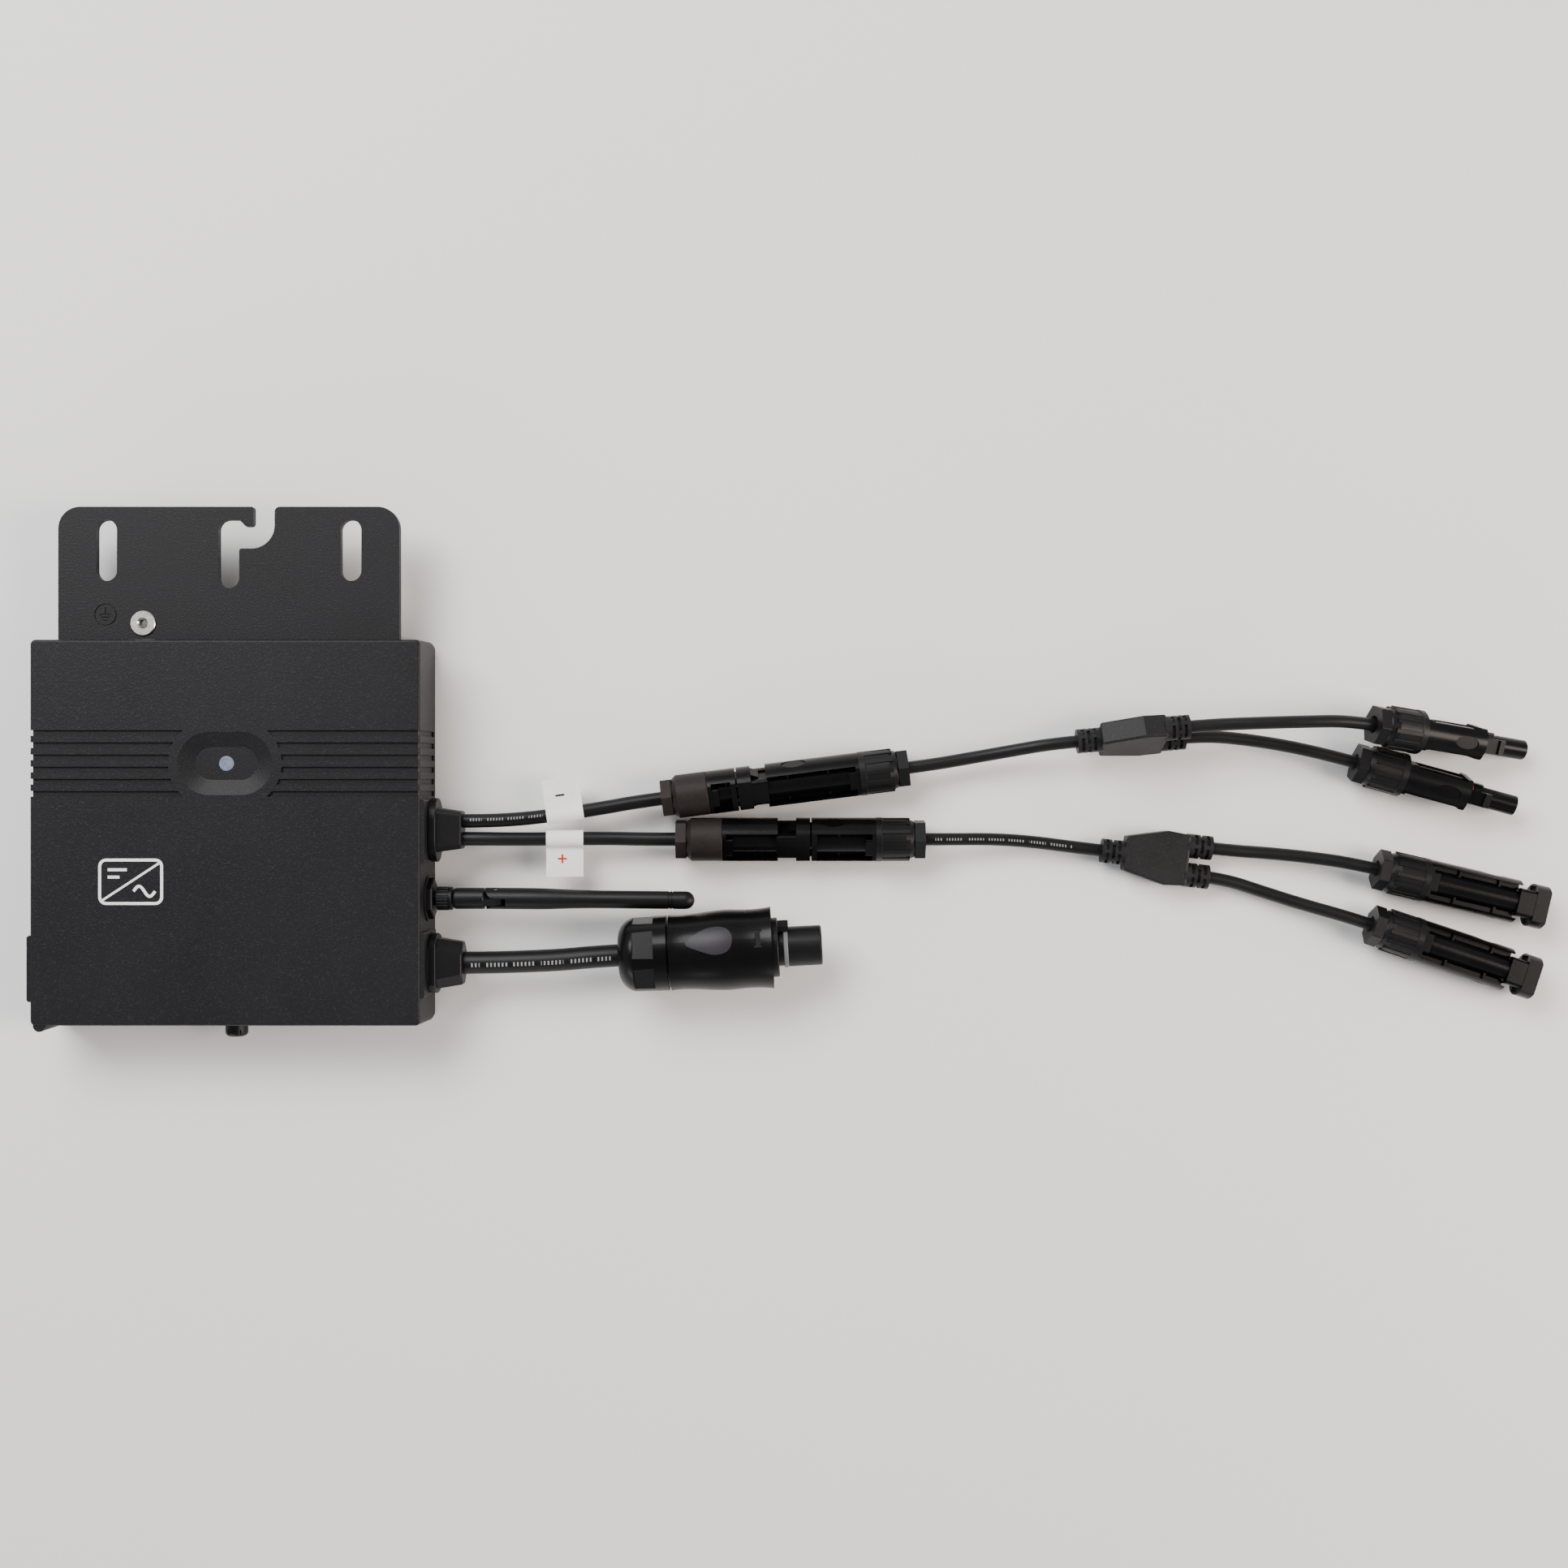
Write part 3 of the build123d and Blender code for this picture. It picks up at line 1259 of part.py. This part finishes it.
def sleeve_outside(grow):
    """Outside of the sleeve: slim at the nut, full in the middle, flared at the mouth."""
    start, end = AC_SLEEVE
    with BuildPart() as body:
        with BuildSketch(lengthwise(ac_plug_frame)):
            with BuildLine():
                Line((start, 0), (start, 15.75 + grow))
                Spline(
                    (start, 15.75 + grow),
                    (24.5, 15.5 + grow),
                    (45.0, 16.75 + grow),
                    (53.0, 16.4 + grow),
                    (end, 17.1 + grow),
                )
                Polyline((end, 17.1 + grow), (end, 0), (start, 0))
            make_face()
        revolve(axis=Axis(ac_plug_frame.origin, ac_plug_frame.z_dir))
    return body.part


with BuildPart() as ac_plug_nut:
    with BuildSketch(lengthwise(ac_plug_frame)):
        with BuildLine():
            Line((0, AC_D / 2 + CLEAR), (0, 8.0))
            ThreePointArc((0, 8.0), (1.9, 12.6), (6.3, 15.4))
            Polyline(
                (6.3, 15.4),
                (AC_NUT_END, AC_NUT_R),
                (AC_NUT_END, AC_INSERT_R + CLEAR),
                (9.4, AC_INSERT_R + CLEAR),
                (9.4, 3.0),
                (AC_CORD_STOP, 3.0),
                (AC_CORD_STOP, AC_D / 2 + CLEAR),
                (0, AC_D / 2 + CLEAR),
            )
        make_face()
    revolve(axis=Axis(ac_plug_frame.origin, ac_plug_frame.z_dir))
    # Six flats for a spanner.
    with BuildSketch(ac_plug_frame.offset(6.5)):
        Circle(18)
        RegularPolygon(14.4, 6, major_radius=False, mode=Mode.SUBTRACT)
    extrude(amount=8.6, mode=Mode.SUBTRACT)
save(ac_plug_nut, "ac_plug_nut")

with BuildPart() as ac_plug_insert:
    add(turned(ac_plug_frame, [
        (9.6, 9.5),
        (9.6, AC_INSERT_R),
        (AC_DISC_END - 0.4, AC_INSERT_R),
        (AC_DISC_END, AC_INSERT_R - 0.4),
        (AC_DISC_END, AC_NOSE_R - 0.4),
        (AC_NOSE_FROM, AC_NOSE_R - 0.4),
        (AC_NOSE_FROM, AC_NOSE_R),
        (AC_TIP - 0.6, AC_NOSE_R),
        (AC_TIP, AC_NOSE_R - 0.6),
        (AC_TIP, 0),
        (26, 0),
        (26, 9.5),
    ]))
    # Key tab beside the nose.
    with BuildSketch(tab_frame.offset(65)):
        with Locations((0, 10.15)):
            Rectangle(5.0, 2.5)
    extrude(amount=6)
    with BuildSketch(ac_plug_frame.offset(AC_TIP)):
        with PolarLocations(4.3, 3, start_angle=90):
            Circle(1.75)
    extrude(amount=28 - AC_TIP, mode=Mode.SUBTRACT)
save(ac_plug_insert, "ac_plug_insert")

with BuildPart() as ac_plug_contacts:
    with BuildSketch(ac_plug_frame.offset(28)):
        with PolarLocations(4.3, 3, start_angle=90):
            Circle(1.7)
    extrude(amount=AC_TIP - 29)
    with BuildSketch(ac_plug_frame.offset(AC_TIP - 1)):
        with PolarLocations(4.3, 3, start_angle=90):
            Circle(1.1)
    extrude(amount=-10, mode=Mode.SUBTRACT)
save(ac_plug_contacts, "ac_plug_contacts")

with BuildPart() as ac_plug_seal:
    add(turned(ac_plug_frame, [
        (68.8, AC_NOSE_R - 0.4),
        (68.8, 8.4),
        (69.1, 8.65),
        (70.3, 8.65),
        (70.6, 8.4),
        (70.6, AC_NOSE_R - 0.4),
    ]))
save(ac_plug_seal, "ac_plug_seal")

with BuildPart() as ac_plug_sleeve:
    add(sleeve_outside(0))
    add(rod(ac_plug_frame, 20, 65, AC_INSERT_R + CLEAR), mode=Mode.SUBTRACT)
    add(rod(ac_plug_frame, 56, 65, 15.1), mode=Mode.SUBTRACT)
    # Small window that shows the lock's position.
    with BuildSketch(over_plug.offset(15.7)):
        with Locations((58.3, 0)):
            Rectangle(2.2, 7.5)
        with Locations((58.3, -3.2), (58.3, 3.2)):
            Rectangle(3.4, 1.2)
    extrude(amount=4, mode=Mode.SUBTRACT)
save(ac_plug_sleeve, "ac_plug_sleeve")

with BuildPart() as ac_plug_badge:
    with BuildSketch(over_plug.offset(12)):
        with BuildLine():
            Spline(
                (28.8, 0),
                (34.0, 3.9),
                (41.0, 5.9),
                (46.2, 4.3),
                (47.8, 0),
                (46.2, -4.3),
                (41.0, -5.9),
                (34.0, -3.9),
                periodic=True,
            )
        make_face()
    extrude(amount=8)
    add(sleeve_outside(0.3), mode=Mode.INTERSECT)
    add(sleeve_outside(0), mode=Mode.SUBTRACT)
save(ac_plug_badge, "ac_plug_badge")
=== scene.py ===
import bpy
import bmesh
import json
from math import cos, pi, radians, sin
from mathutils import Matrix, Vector


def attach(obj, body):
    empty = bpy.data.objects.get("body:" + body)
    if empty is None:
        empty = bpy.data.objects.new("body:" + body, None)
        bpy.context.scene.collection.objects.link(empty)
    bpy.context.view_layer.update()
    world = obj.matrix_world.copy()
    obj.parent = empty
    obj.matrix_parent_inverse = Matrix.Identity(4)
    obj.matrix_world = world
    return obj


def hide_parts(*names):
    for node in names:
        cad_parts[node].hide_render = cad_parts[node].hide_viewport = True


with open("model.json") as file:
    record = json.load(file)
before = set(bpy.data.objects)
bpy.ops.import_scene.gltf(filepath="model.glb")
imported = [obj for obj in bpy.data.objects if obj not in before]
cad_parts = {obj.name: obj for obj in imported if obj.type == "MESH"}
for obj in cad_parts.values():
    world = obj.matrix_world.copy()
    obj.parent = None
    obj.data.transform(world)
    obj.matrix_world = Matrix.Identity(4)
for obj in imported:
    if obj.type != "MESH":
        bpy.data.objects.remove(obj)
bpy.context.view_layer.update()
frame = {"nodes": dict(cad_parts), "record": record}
nodes = frame["nodes"]
record = frame["record"]

# ---------------------------------------------------------------- materials
# Sockets of a colour Mix node, which share their names with the node's other types.
MIX_FACTOR, MIX_A, MIX_B, MIX_RESULT = 0, 6, 7, 2
SPECK_FROM, SPECK_FULL = 0.55, 0.78     # grain level where specks start and are full
BUMP_HEIGHT = 0.0002                    # metres
INK_COVER = 0.6                         # how strongly print covers the jacket
STROKE_SHARE = 0.45                     # inked part of one dash
WORD_RATE, WORD_SHARE = 0.137, 0.8      # groups per dash, and the inked part of a group
JACKET = (0.0042, 0.0042, 0.0046)


def surface(name, base, rough, grain=(1800.0, 0.25), blotch=(35.0, 0.25), rough_span=0.08,
            metallic=0.0, specular=0.22, speck=None, streak=None):
    """Moulded, coated or metal finish: grain in the bump, drift in colour and roughness."""
    mat = bpy.data.materials.new(name)
    mat.use_nodes = True
    tree = mat.node_tree
    link = tree.links.new
    shader = tree.nodes["Principled BSDF"]
    shader.inputs["Metallic"].default_value = metallic
    shader.inputs["Specular IOR Level"].default_value = specular
    coords = tree.nodes.new("ShaderNodeTexCoord")
    source = coords.outputs["Object"]
    if streak:
        mapping = tree.nodes.new("ShaderNodeMapping")
        mapping.inputs["Scale"].default_value = streak
        link(source, mapping.inputs["Vector"])
        source = mapping.outputs["Vector"]
    drift = tree.nodes.new("ShaderNodeTexNoise")
    drift.inputs["Scale"].default_value = blotch[0]
    drift.inputs["Detail"].default_value = 5.0
    drift.inputs["Roughness"].default_value = 0.6
    link(source, drift.inputs["Vector"])
    tint = tree.nodes.new("ShaderNodeValToRGB")
    low = [channel * (1 - blotch[1]) for channel in base]
    high = [min(1.0, channel * (1 + blotch[1])) for channel in base]
    tint.color_ramp.elements[0].position = 0.3
    tint.color_ramp.elements[1].position = 0.7
    tint.color_ramp.elements[0].color = (*low, 1)
    tint.color_ramp.elements[1].color = (*high, 1)
    link(drift.outputs["Fac"], tint.inputs["Fac"])
    colour = tint.outputs["Color"]
    fine = tree.nodes.new("ShaderNodeTexNoise")
    fine.inputs["Scale"].default_value = grain[0]
    fine.inputs["Detail"].default_value = 3.0
    link(source, fine.inputs["Vector"])
    if speck:
        lift = tree.nodes.new("ShaderNodeMapRange")
        lift.inputs["From Min"].default_value = SPECK_FROM
        lift.inputs["From Max"].default_value = SPECK_FULL
        link(fine.outputs["Fac"], lift.inputs["Value"])
        mix = tree.nodes.new("ShaderNodeMix")
        mix.data_type = "RGBA"
        mix.inputs[MIX_B].default_value = (*speck, 1)
        link(lift.outputs["Result"], mix.inputs[MIX_FACTOR])
        link(colour, mix.inputs[MIX_A])
        colour = mix.outputs[MIX_RESULT]
    link(colour, shader.inputs["Base Color"])
    spread = tree.nodes.new("ShaderNodeMapRange")
    spread.inputs["To Min"].default_value = max(0.02, rough - rough_span)
    spread.inputs["To Max"].default_value = min(1.0, rough + rough_span)
    link(drift.outputs["Fac"], spread.inputs["Value"])
    link(spread.outputs["Result"], shader.inputs["Roughness"])
    bump = tree.nodes.new("ShaderNodeBump")
    bump.inputs["Strength"].default_value = grain[1]
    bump.inputs["Distance"].default_value = BUMP_HEIGHT
    link(fine.outputs["Fac"], bump.inputs["Height"])
    link(bump.outputs["Normal"], shader.inputs["Normal"])
    return mat


def printed_jacket(name, base, ink, start, end, dash, rough=0.42, up=0.96, tilt=0.0):
    """Cord jacket with a line of plain printed dashes along its top."""
    mat = surface(name, base, rough, grain=(2600.0, 0.2), blotch=(60.0, 0.2))
    tree = mat.node_tree
    link = tree.links.new
    shader = tree.nodes["Principled BSDF"]
    plain = shader.inputs["Base Color"].links[0].from_socket
    coords = tree.nodes.new("ShaderNodeTexCoord")
    split = tree.nodes.new("ShaderNodeSeparateXYZ")
    link(coords.outputs["Object"], split.inputs["Vector"])
    geometry = tree.nodes.new("ShaderNodeNewGeometry")
    normal = tree.nodes.new("ShaderNodeVectorMath")
    normal.operation = "DOT_PRODUCT"
    normal.inputs[1].default_value = (0.0, sin(radians(tilt)), cos(radians(tilt)))
    link(geometry.outputs["Normal"], normal.inputs[0])

    def math(operation, first, second):
        node = tree.nodes.new("ShaderNodeMath")
        node.operation = operation
        for socket, value in zip(node.inputs, (first, second)):
            if isinstance(value, (int, float)):
                socket.default_value = value
            else:
                link(value, socket)
        return node.outputs["Value"]

    x = split.outputs["X"]
    along = math("MULTIPLY", x, 1.0 / dash)
    stroke = math("LESS_THAN", math("FRACT", along, 0.0), STROKE_SHARE)
    word = math("LESS_THAN", math("FRACT", math("MULTIPLY", along, WORD_RATE), 0.0), WORD_SHARE)
    inside = math("MULTIPLY", math("GREATER_THAN", x, start), math("LESS_THAN", x, end))
    top = math("GREATER_THAN", normal.outputs["Value"], up)
    mask = math("MULTIPLY", math("MULTIPLY", stroke, word), math("MULTIPLY", inside, top))
    mask = math("MULTIPLY", mask, INK_COVER)
    mix = tree.nodes.new("ShaderNodeMix")
    mix.data_type = "RGBA"
    mix.inputs[MIX_B].default_value = (*ink, 1)
    link(mask, mix.inputs[MIX_FACTOR])
    link(plain, mix.inputs[MIX_A])
    link(mix.outputs[MIX_RESULT], shader.inputs["Base Color"])
    return mat


FINISHES = {
    "powder_coat": surface("powder_coat", (0.0056, 0.0058, 0.0074), 0.5, (1500.0, 0.6),
                           (18.0, 0.2), 0.07, speck=(0.020, 0.0215, 0.0245)),
    "zinc_screw": surface("zinc_screw", (0.55, 0.55, 0.53), 0.32, metallic=1.0),
    "bare_insert": surface("bare_insert", (0.78, 0.75, 0.70), 0.24, (900.0, 0.12), metallic=1.0),
    "gland_plastic": surface("gland_plastic", (0.0045, 0.0045, 0.005), 0.42, (2200.0, 0.3)),
    "cap_plastic": surface("cap_plastic", (0.0125, 0.0090, 0.0080), 0.55, (1500.0, 0.4),
                           (90.0, 0.25), speck=(0.021, 0.0155, 0.014)),
    "gloss_black": surface("gloss_black", (0.0024, 0.0023, 0.0028), 0.27, (260.0, 0.05),
                           (60.0, 0.3), 0.05, specular=0.16),
    "satin_black": surface("satin_black", (0.0044, 0.0044, 0.0049), 0.40, (1900.0, 0.25),
                           specular=0.22),
    "splitter_plastic": surface("splitter_plastic", (0.0085, 0.0085, 0.0095), 0.48,
                                (1500.0, 0.55), (70.0, 0.22), speck=(0.02, 0.02, 0.022)),
    "jacket": surface("jacket", JACKET, 0.42, (2600.0, 0.2), (60.0, 0.2),
                      specular=0.28),
    "red_seal": surface("red_seal", (0.20, 0.014, 0.010), 0.5),
    "black_seal": surface("black_seal", (0.003, 0.003, 0.003), 0.75),
    "grey_ring": surface("grey_ring", (0.15, 0.155, 0.165), 0.45),
    "badge_grey": surface("badge_grey", (0.022, 0.021, 0.026), 0.38, (1200.0, 0.15)),
    "lens": surface("lens", (0.15, 0.175, 0.25), 0.25, (700.0, 0.12), (420.0, 0.25),
                    specular=0.4),
    "contact_metal": surface("contact_metal", (0.62, 0.60, 0.56), 0.28, metallic=1.0),
    "flag_paper": surface("flag_paper", (0.80, 0.80, 0.79), 0.6, (1400.0, 0.12), (80.0, 0.05)),
    "board_green": surface("board_green", (0.01, 0.11, 0.035), 0.35, (400.0, 0.2)),
    "ferrite": surface("ferrite", (0.05, 0.05, 0.055), 0.6),
    "can_metal": surface("can_metal", (0.6, 0.6, 0.62), 0.3, metallic=1.0),
    "chip_black": surface("chip_black", (0.012, 0.012, 0.012), 0.5),
    "pad_grey": surface("pad_grey", (0.3, 0.32, 0.35), 0.8),
    "relay_blue": surface("relay_blue", (0.02, 0.05, 0.16), 0.35),
    "winding": surface("winding", (0.25, 0.07, 0.02), 0.3, (500.0, 0.5), streak=(1, 1, 6)),
    "shield": surface("shield", (0.5, 0.5, 0.5), 0.3, metallic=1.0),
    "wire_skin": surface("wire_skin", (0.2, 0.012, 0.012), 0.4),
}
INK_WHITE = surface("ink_white", (0.80, 0.81, 0.82), 0.45, (1500.0, 0.2), (60.0, 0.06))
INK_BLACK = surface("ink_black", (0.012, 0.012, 0.012), 0.5)
INK_RED = surface("ink_red", (0.50, 0.02, 0.02), 0.5)

for row in record["subparts"]:
    node = nodes[row["node"]]
    for place in node.material_slots:
        place.material = FINISHES[row["material_slot"]]

# ---------------------------------------------------------------- cords
MM = 0.001
SOLAR_D = 5.8
MAINS_D = 9.4
ADAPTER_D = 5.3


def cord(name, body, route, diameter, finish):
    """Round cord: one smooth NURBS line steered by the route's points, leaving at the first."""
    curve = bpy.data.curves.new(name + "_line", "CURVE")
    curve.dimensions = "3D"
    spline = curve.splines.new("NURBS")
    spline.points.add(len(route) - 1)
    for point, place in zip(spline.points, route):
        point.co = (place[0] * MM, place[1] * MM, place[2] * MM, 1)
    spline.order_u = 3
    spline.use_endpoint_u = True
    curve.resolution_u = 20
    curve.bevel_depth = diameter * MM / 2
    curve.bevel_resolution = 8
    curve.use_fill_caps = True
    piece = bpy.data.objects.new(name + "_cord", curve)
    bpy.context.scene.collection.objects.link(piece)
    curve.materials.append(finish)
    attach(piece, body)
    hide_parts(name)


ac_jacket = printed_jacket("ac_jacket", JACKET, (0.42, 0.42, 0.42), 0.099, 0.158, 0.0016,
                           up=0.983, tilt=-8)
solar_jacket = printed_jacket("solar_jacket", JACKET, (0.34, 0.34, 0.34), 0.098, 0.1285, 0.0012,
                              up=0.98, tilt=10)
adapter_jacket = printed_jacket("adapter_jacket", JACKET, (0.36, 0.36, 0.36), 0.293, 0.3515,
                                0.0012, up=0.978)

cord("minus_lead", "root", [
    (88.0, 4.5, 15.2),
    (102.0, 4.5, 15.2),
    (118.4, 5.2, 13.6),
    (135.2, 7.2, 11.5),
    (151.5, 9.6, 9.9),
    (168.72, 12.75, 9.35),
    (185.09, 14.79, 9.35),
], SOLAR_D,
    solar_jacket)

cord("plus_lead", "root", [
    (88.0, -2.9, 15.2),
    (102.0, -2.9, 15.2),
    (118.4, -3.1, 13.5),
    (136.5, -3.0, 11.3),
    (155.0, -2.9, 9.6),
    (174.0, -3.3, 9.35),
    (191.0, -3.3, 9.35),
], SOLAR_D,
    FINISHES["jacket"])

cord("ac_lead", "root", [
    (86.5, -54.8, 15.2),
    (101.5, -54.8, 15.2),
    (118.8, -54.3, 15.8),
    (136.0, -53.5, 16.6),
    (152.11, -51.94, 17.2),
    (167.99, -51.11, 17.2),
], MAINS_D,
    ac_jacket)

cord("minus_adapter_lead", "minus_adapter", [
    (273.51, 25.80, 9.35),
    (290.98, 27.97, 9.35),
    (309.5, 31.2, 8.6),
    (326.5, 34.2, 10.4),
    (342.32, 36.98, 13.2),
    (358.26, 38.35, 13.2),
], ADAPTER_D,
    FINISHES["jacket"])

cord("minus_branch_lead_upper", "minus_adapter", [
    (391.96, 43.35, 18.98),
    (406.90, 44.63, 18.98),
    (424.5, 45.3, 20.8),
    (446.0, 45.9, 22.3),
    (465.41, 46.23, 21.40),
    (482.55, 43.57, 17.88),
], ADAPTER_D,
    FINISHES["jacket"])

cord("minus_branch_lead_lower", "minus_adapter", [
    (392.32, 39.16, 7.42),
    (407.26, 40.44, 7.42),
    (426.0, 38.7, 6.9),
    (443.5, 35.8, 7.3),
    (460.83, 31.69, 9.35),
    (477.90, 27.02, 9.35),
], ADAPTER_D,
    FINISHES["jacket"])

cord("plus_adapter_lead", "plus_adapter", [
    (280.5, -3.3, 9.35),
    (298.5, -3.3, 9.35),
    (316.6, -3.2, 7.3),
    (333.9, -4.3, 5.6),
    (353.81, -6.96, 5.6),
    (369.71, -8.78, 5.6),
], ADAPTER_D,
    adapter_jacket)

cord("plus_branch_lead_upper", "plus_adapter", [
    (404.19, -6.51, 5.6),
    (419.09, -8.21, 5.6),
    (435.0, -9.3, 5.2),
    (452.0, -11.0, 6.6),
    (469.85, -13.59, 9.35),
    (486.99, -17.61, 9.35),
], ADAPTER_D,
    FINISHES["jacket"])

cord("plus_branch_lead_lower", "plus_adapter", [
    (402.79, -18.73, 5.6),
    (415.71, -20.21, 5.6),
    (431.5, -25.4, 5.3),
    (449.0, -31.0, 6.8),
    (467.67, -36.18, 9.35),
    (484.37, -41.73, 9.35),
], ADAPTER_D,
    FINISHES["jacket"])

# ---------------------------------------------------------------- printed marks


def print_on(name, strokes, origin, across, up, out, thickness, finish):
    """Raised ink: each stroke is a line of points and a width, laid on a flat face."""
    mesh = bmesh.new()
    for line, width, closed in strokes:
        points = [Vector((*point, 0)) for point in line]
        count = len(points)
        rims = []
        for i, point in enumerate(points):
            before = points[i - 1] if i > 0 or closed else point
            after = points[(i + 1) % count] if i < count - 1 or closed else point
            way = (after - before).normalized()
            left = Vector((-way.y, way.x, 0)) * width / 2
            rims.append([point + left, point - left])
        rings = []
        for pair in rims:
            ring = []
            for height in (0.0, thickness):
                for point in pair:
                    place = origin + across * point.x + up * point.y + out * height
                    ring.append(mesh.verts.new(place * MM))
            rings.append(ring)
        last = count if closed else count - 1
        for i in range(last):
            a, b = rings[i], rings[(i + 1) % count]
            mesh.faces.new((a[2], a[3], b[3], b[2]))
            mesh.faces.new((a[0], b[0], b[1], a[1]))
            mesh.faces.new((a[0], a[2], b[2], b[0]))
            mesh.faces.new((a[1], b[1], b[3], a[3]))
        if not closed:
            for ring in (rings[0], rings[-1]):
                mesh.faces.new((ring[0], ring[1], ring[3], ring[2]))
    bmesh.ops.recalc_face_normals(mesh, faces=mesh.faces)
    data = bpy.data.meshes.new(name)
    mesh.to_mesh(data)
    mesh.free()
    data.materials.append(finish)
    piece = bpy.data.objects.new(name, data)
    bpy.context.scene.collection.objects.link(piece)
    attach(piece, "root")


def rounded_frame(width, height, radius, steps=8):
    """Outline of a rectangle with rounded corners, counted from its middle."""
    corners = []
    for cx, cy, start in ((1, 1, 0), (-1, 1, 90), (-1, -1, 180), (1, -1, 270)):
        for i in range(steps + 1):
            angle = radians(start + 90 * i / steps)
            corners.append((cx * (width / 2 - radius) + radius * cos(angle),
                            cy * (height / 2 - radius) + radius * sin(angle)))
    return corners


# Generic sign for a converter: a frame split by a diagonal, two bars and one wave.
wave = [(-4.4 + 8.8 * i / 32, 2.1 * sin(2 * pi * i / 32)) for i in range(33)]
print_on("converter_sign", [
    (rounded_frame(25.4, 17.8, 2.6), 1.2, True),
    ([(-11.6, -7.6), (11.6, 7.6)], 0.9, False),
    ([(-9.4, 4.9), (-1.6, 4.9)], 1.2, False),
    ([(-9.4, 1.9), (-4.6, 1.9)], 1.2, False),
    ([(x + 5.6, y - 3.9) for x, y in wave], 1.2, False),
], Vector((-38.6, -20.1, 31.0)), Vector((1, 0, 0)), Vector((0, 1, 0)), Vector((0, 0, 1)),
    0.04, INK_WHITE)


FLAG_FACE = 0.3      # from the flag's middle plane to its printed face
SIGN_BACK = 1.0      # the sign sits this far back from the flag's middle


def flag_sign(name, middle, heading, pitch, side_at, strokes, finish):
    """Sign printed on a paper flag, which is turned by heading and pitch in degrees."""
    turn = radians(heading)
    lift = radians(pitch)
    forward = Vector((cos(turn) * cos(lift), sin(turn) * cos(lift), sin(lift)))
    side = Vector((0, 0, 1)).cross(forward).normalized()
    over = forward.cross(side)
    origin = Vector(middle) + side * side_at + over * FLAG_FACE - forward * SIGN_BACK
    print_on(name, strokes, origin, forward, side, over, 0.03, finish)


flag_sign("minus_sign", (137.3, 7.5, 11.3), 8.2, -5.5, 8.0,
          [([(-1.9, 0), (1.9, 0)], 0.8, False)], INK_BLACK)
flag_sign("plus_sign", (137.2, -3.0, 11.3), 0.3, -6.0, -8.4,
          [([(-1.9, 0), (1.9, 0)], 0.8, False), ([(0, -1.9), (0, -0.4)], 0.8, False),
           ([(0, 0.4), (0, 1.9)], 0.8, False)], INK_RED)

# ---------------------------------------------------------------- stage, light, camera
FLOOR_HALF = 2.5
FLOOR_DROP = 0.0004   # keeps the floor just clear of the parts that rest on it
floor_mesh = bmesh.new()
bmesh.ops.create_grid(floor_mesh, x_segments=8, y_segments=8, size=FLOOR_HALF)
floor_data = bpy.data.meshes.new("floor")
floor_mesh.to_mesh(floor_data)
floor_mesh.free()
floor = bpy.data.objects.new("floor", floor_data)
floor.location = (0.2, 0.0, -FLOOR_DROP)
bpy.context.scene.collection.objects.link(floor)
floor_data.materials.append(surface("floor_pale", (0.82, 0.82, 0.82), 0.7, (300.0, 0.03),
                                    (2.0, 0.01), 0.03))


AIM = (0.2, 0, 0)


def soft_light(name, place, width, height, power, colour):
    """Rectangular lamp aimed near the middle of the object."""
    lamp = bpy.data.lights.new(name, "AREA")
    lamp.shape = "RECTANGLE"
    lamp.size = width
    lamp.size_y = height
    lamp.energy = power
    lamp.color = colour
    holder = bpy.data.objects.new(name, lamp)
    holder.location = place
    aim = Vector(AIM) - Vector(place)
    holder.rotation_euler = aim.to_track_quat("-Z", "Y").to_euler()
    bpy.context.scene.collection.objects.link(holder)


soft_light("key", (-0.55, 0.95, 1.25), 1.3, 0.8, 44.0, (1.0, 0.985, 0.97))
soft_light("side", (1.45, -0.1, 0.75), 0.5, 1.3, 26.0, (1.0, 0.86, 0.76))
soft_light("front", (-0.7, -1.5, 0.55), 1.2, 0.4, 9.0, (0.96, 0.97, 1.0))

# The sky is a wide soft box, dim straight overhead and brighter near the horizon.
world = bpy.data.worlds.new("studio")
world.use_nodes = True
sky = world.node_tree
sky_coords = sky.nodes.new("ShaderNodeTexCoord")
sky_split = sky.nodes.new("ShaderNodeSeparateXYZ")
sky_range = sky.nodes.new("ShaderNodeMapRange")
sky_range.interpolation_type = "SMOOTHSTEP"
sky_range.inputs["From Min"].default_value = 0.25
sky_range.inputs["From Max"].default_value = 0.95
sky_range.inputs["To Min"].default_value = 0.7
sky_range.inputs["To Max"].default_value = 0.26
sky.links.new(sky_coords.outputs["Generated"], sky_split.inputs["Vector"])
sky.links.new(sky_split.outputs["Z"], sky_range.inputs["Value"])
sky.links.new(sky_range.outputs["Result"], sky.nodes["Background"].inputs["Strength"])
sky.nodes["Background"].inputs["Color"].default_value = (0.97, 0.98, 1.0, 1)
bpy.context.scene.world = world

FOCAL_LENGTH = 44.16
SENSOR_WIDTH = 36.0
CAMERA_PLACE = (0.2294, 0.0200, 0.820)
lens = bpy.data.cameras.new("camera")
lens.lens = FOCAL_LENGTH
lens.sensor_width = SENSOR_WIDTH
lens.clip_end = 20.0
camera = bpy.data.objects.new("camera", lens)
camera.location = CAMERA_PLACE
bpy.context.scene.collection.objects.link(camera)
bpy.context.scene.camera = camera
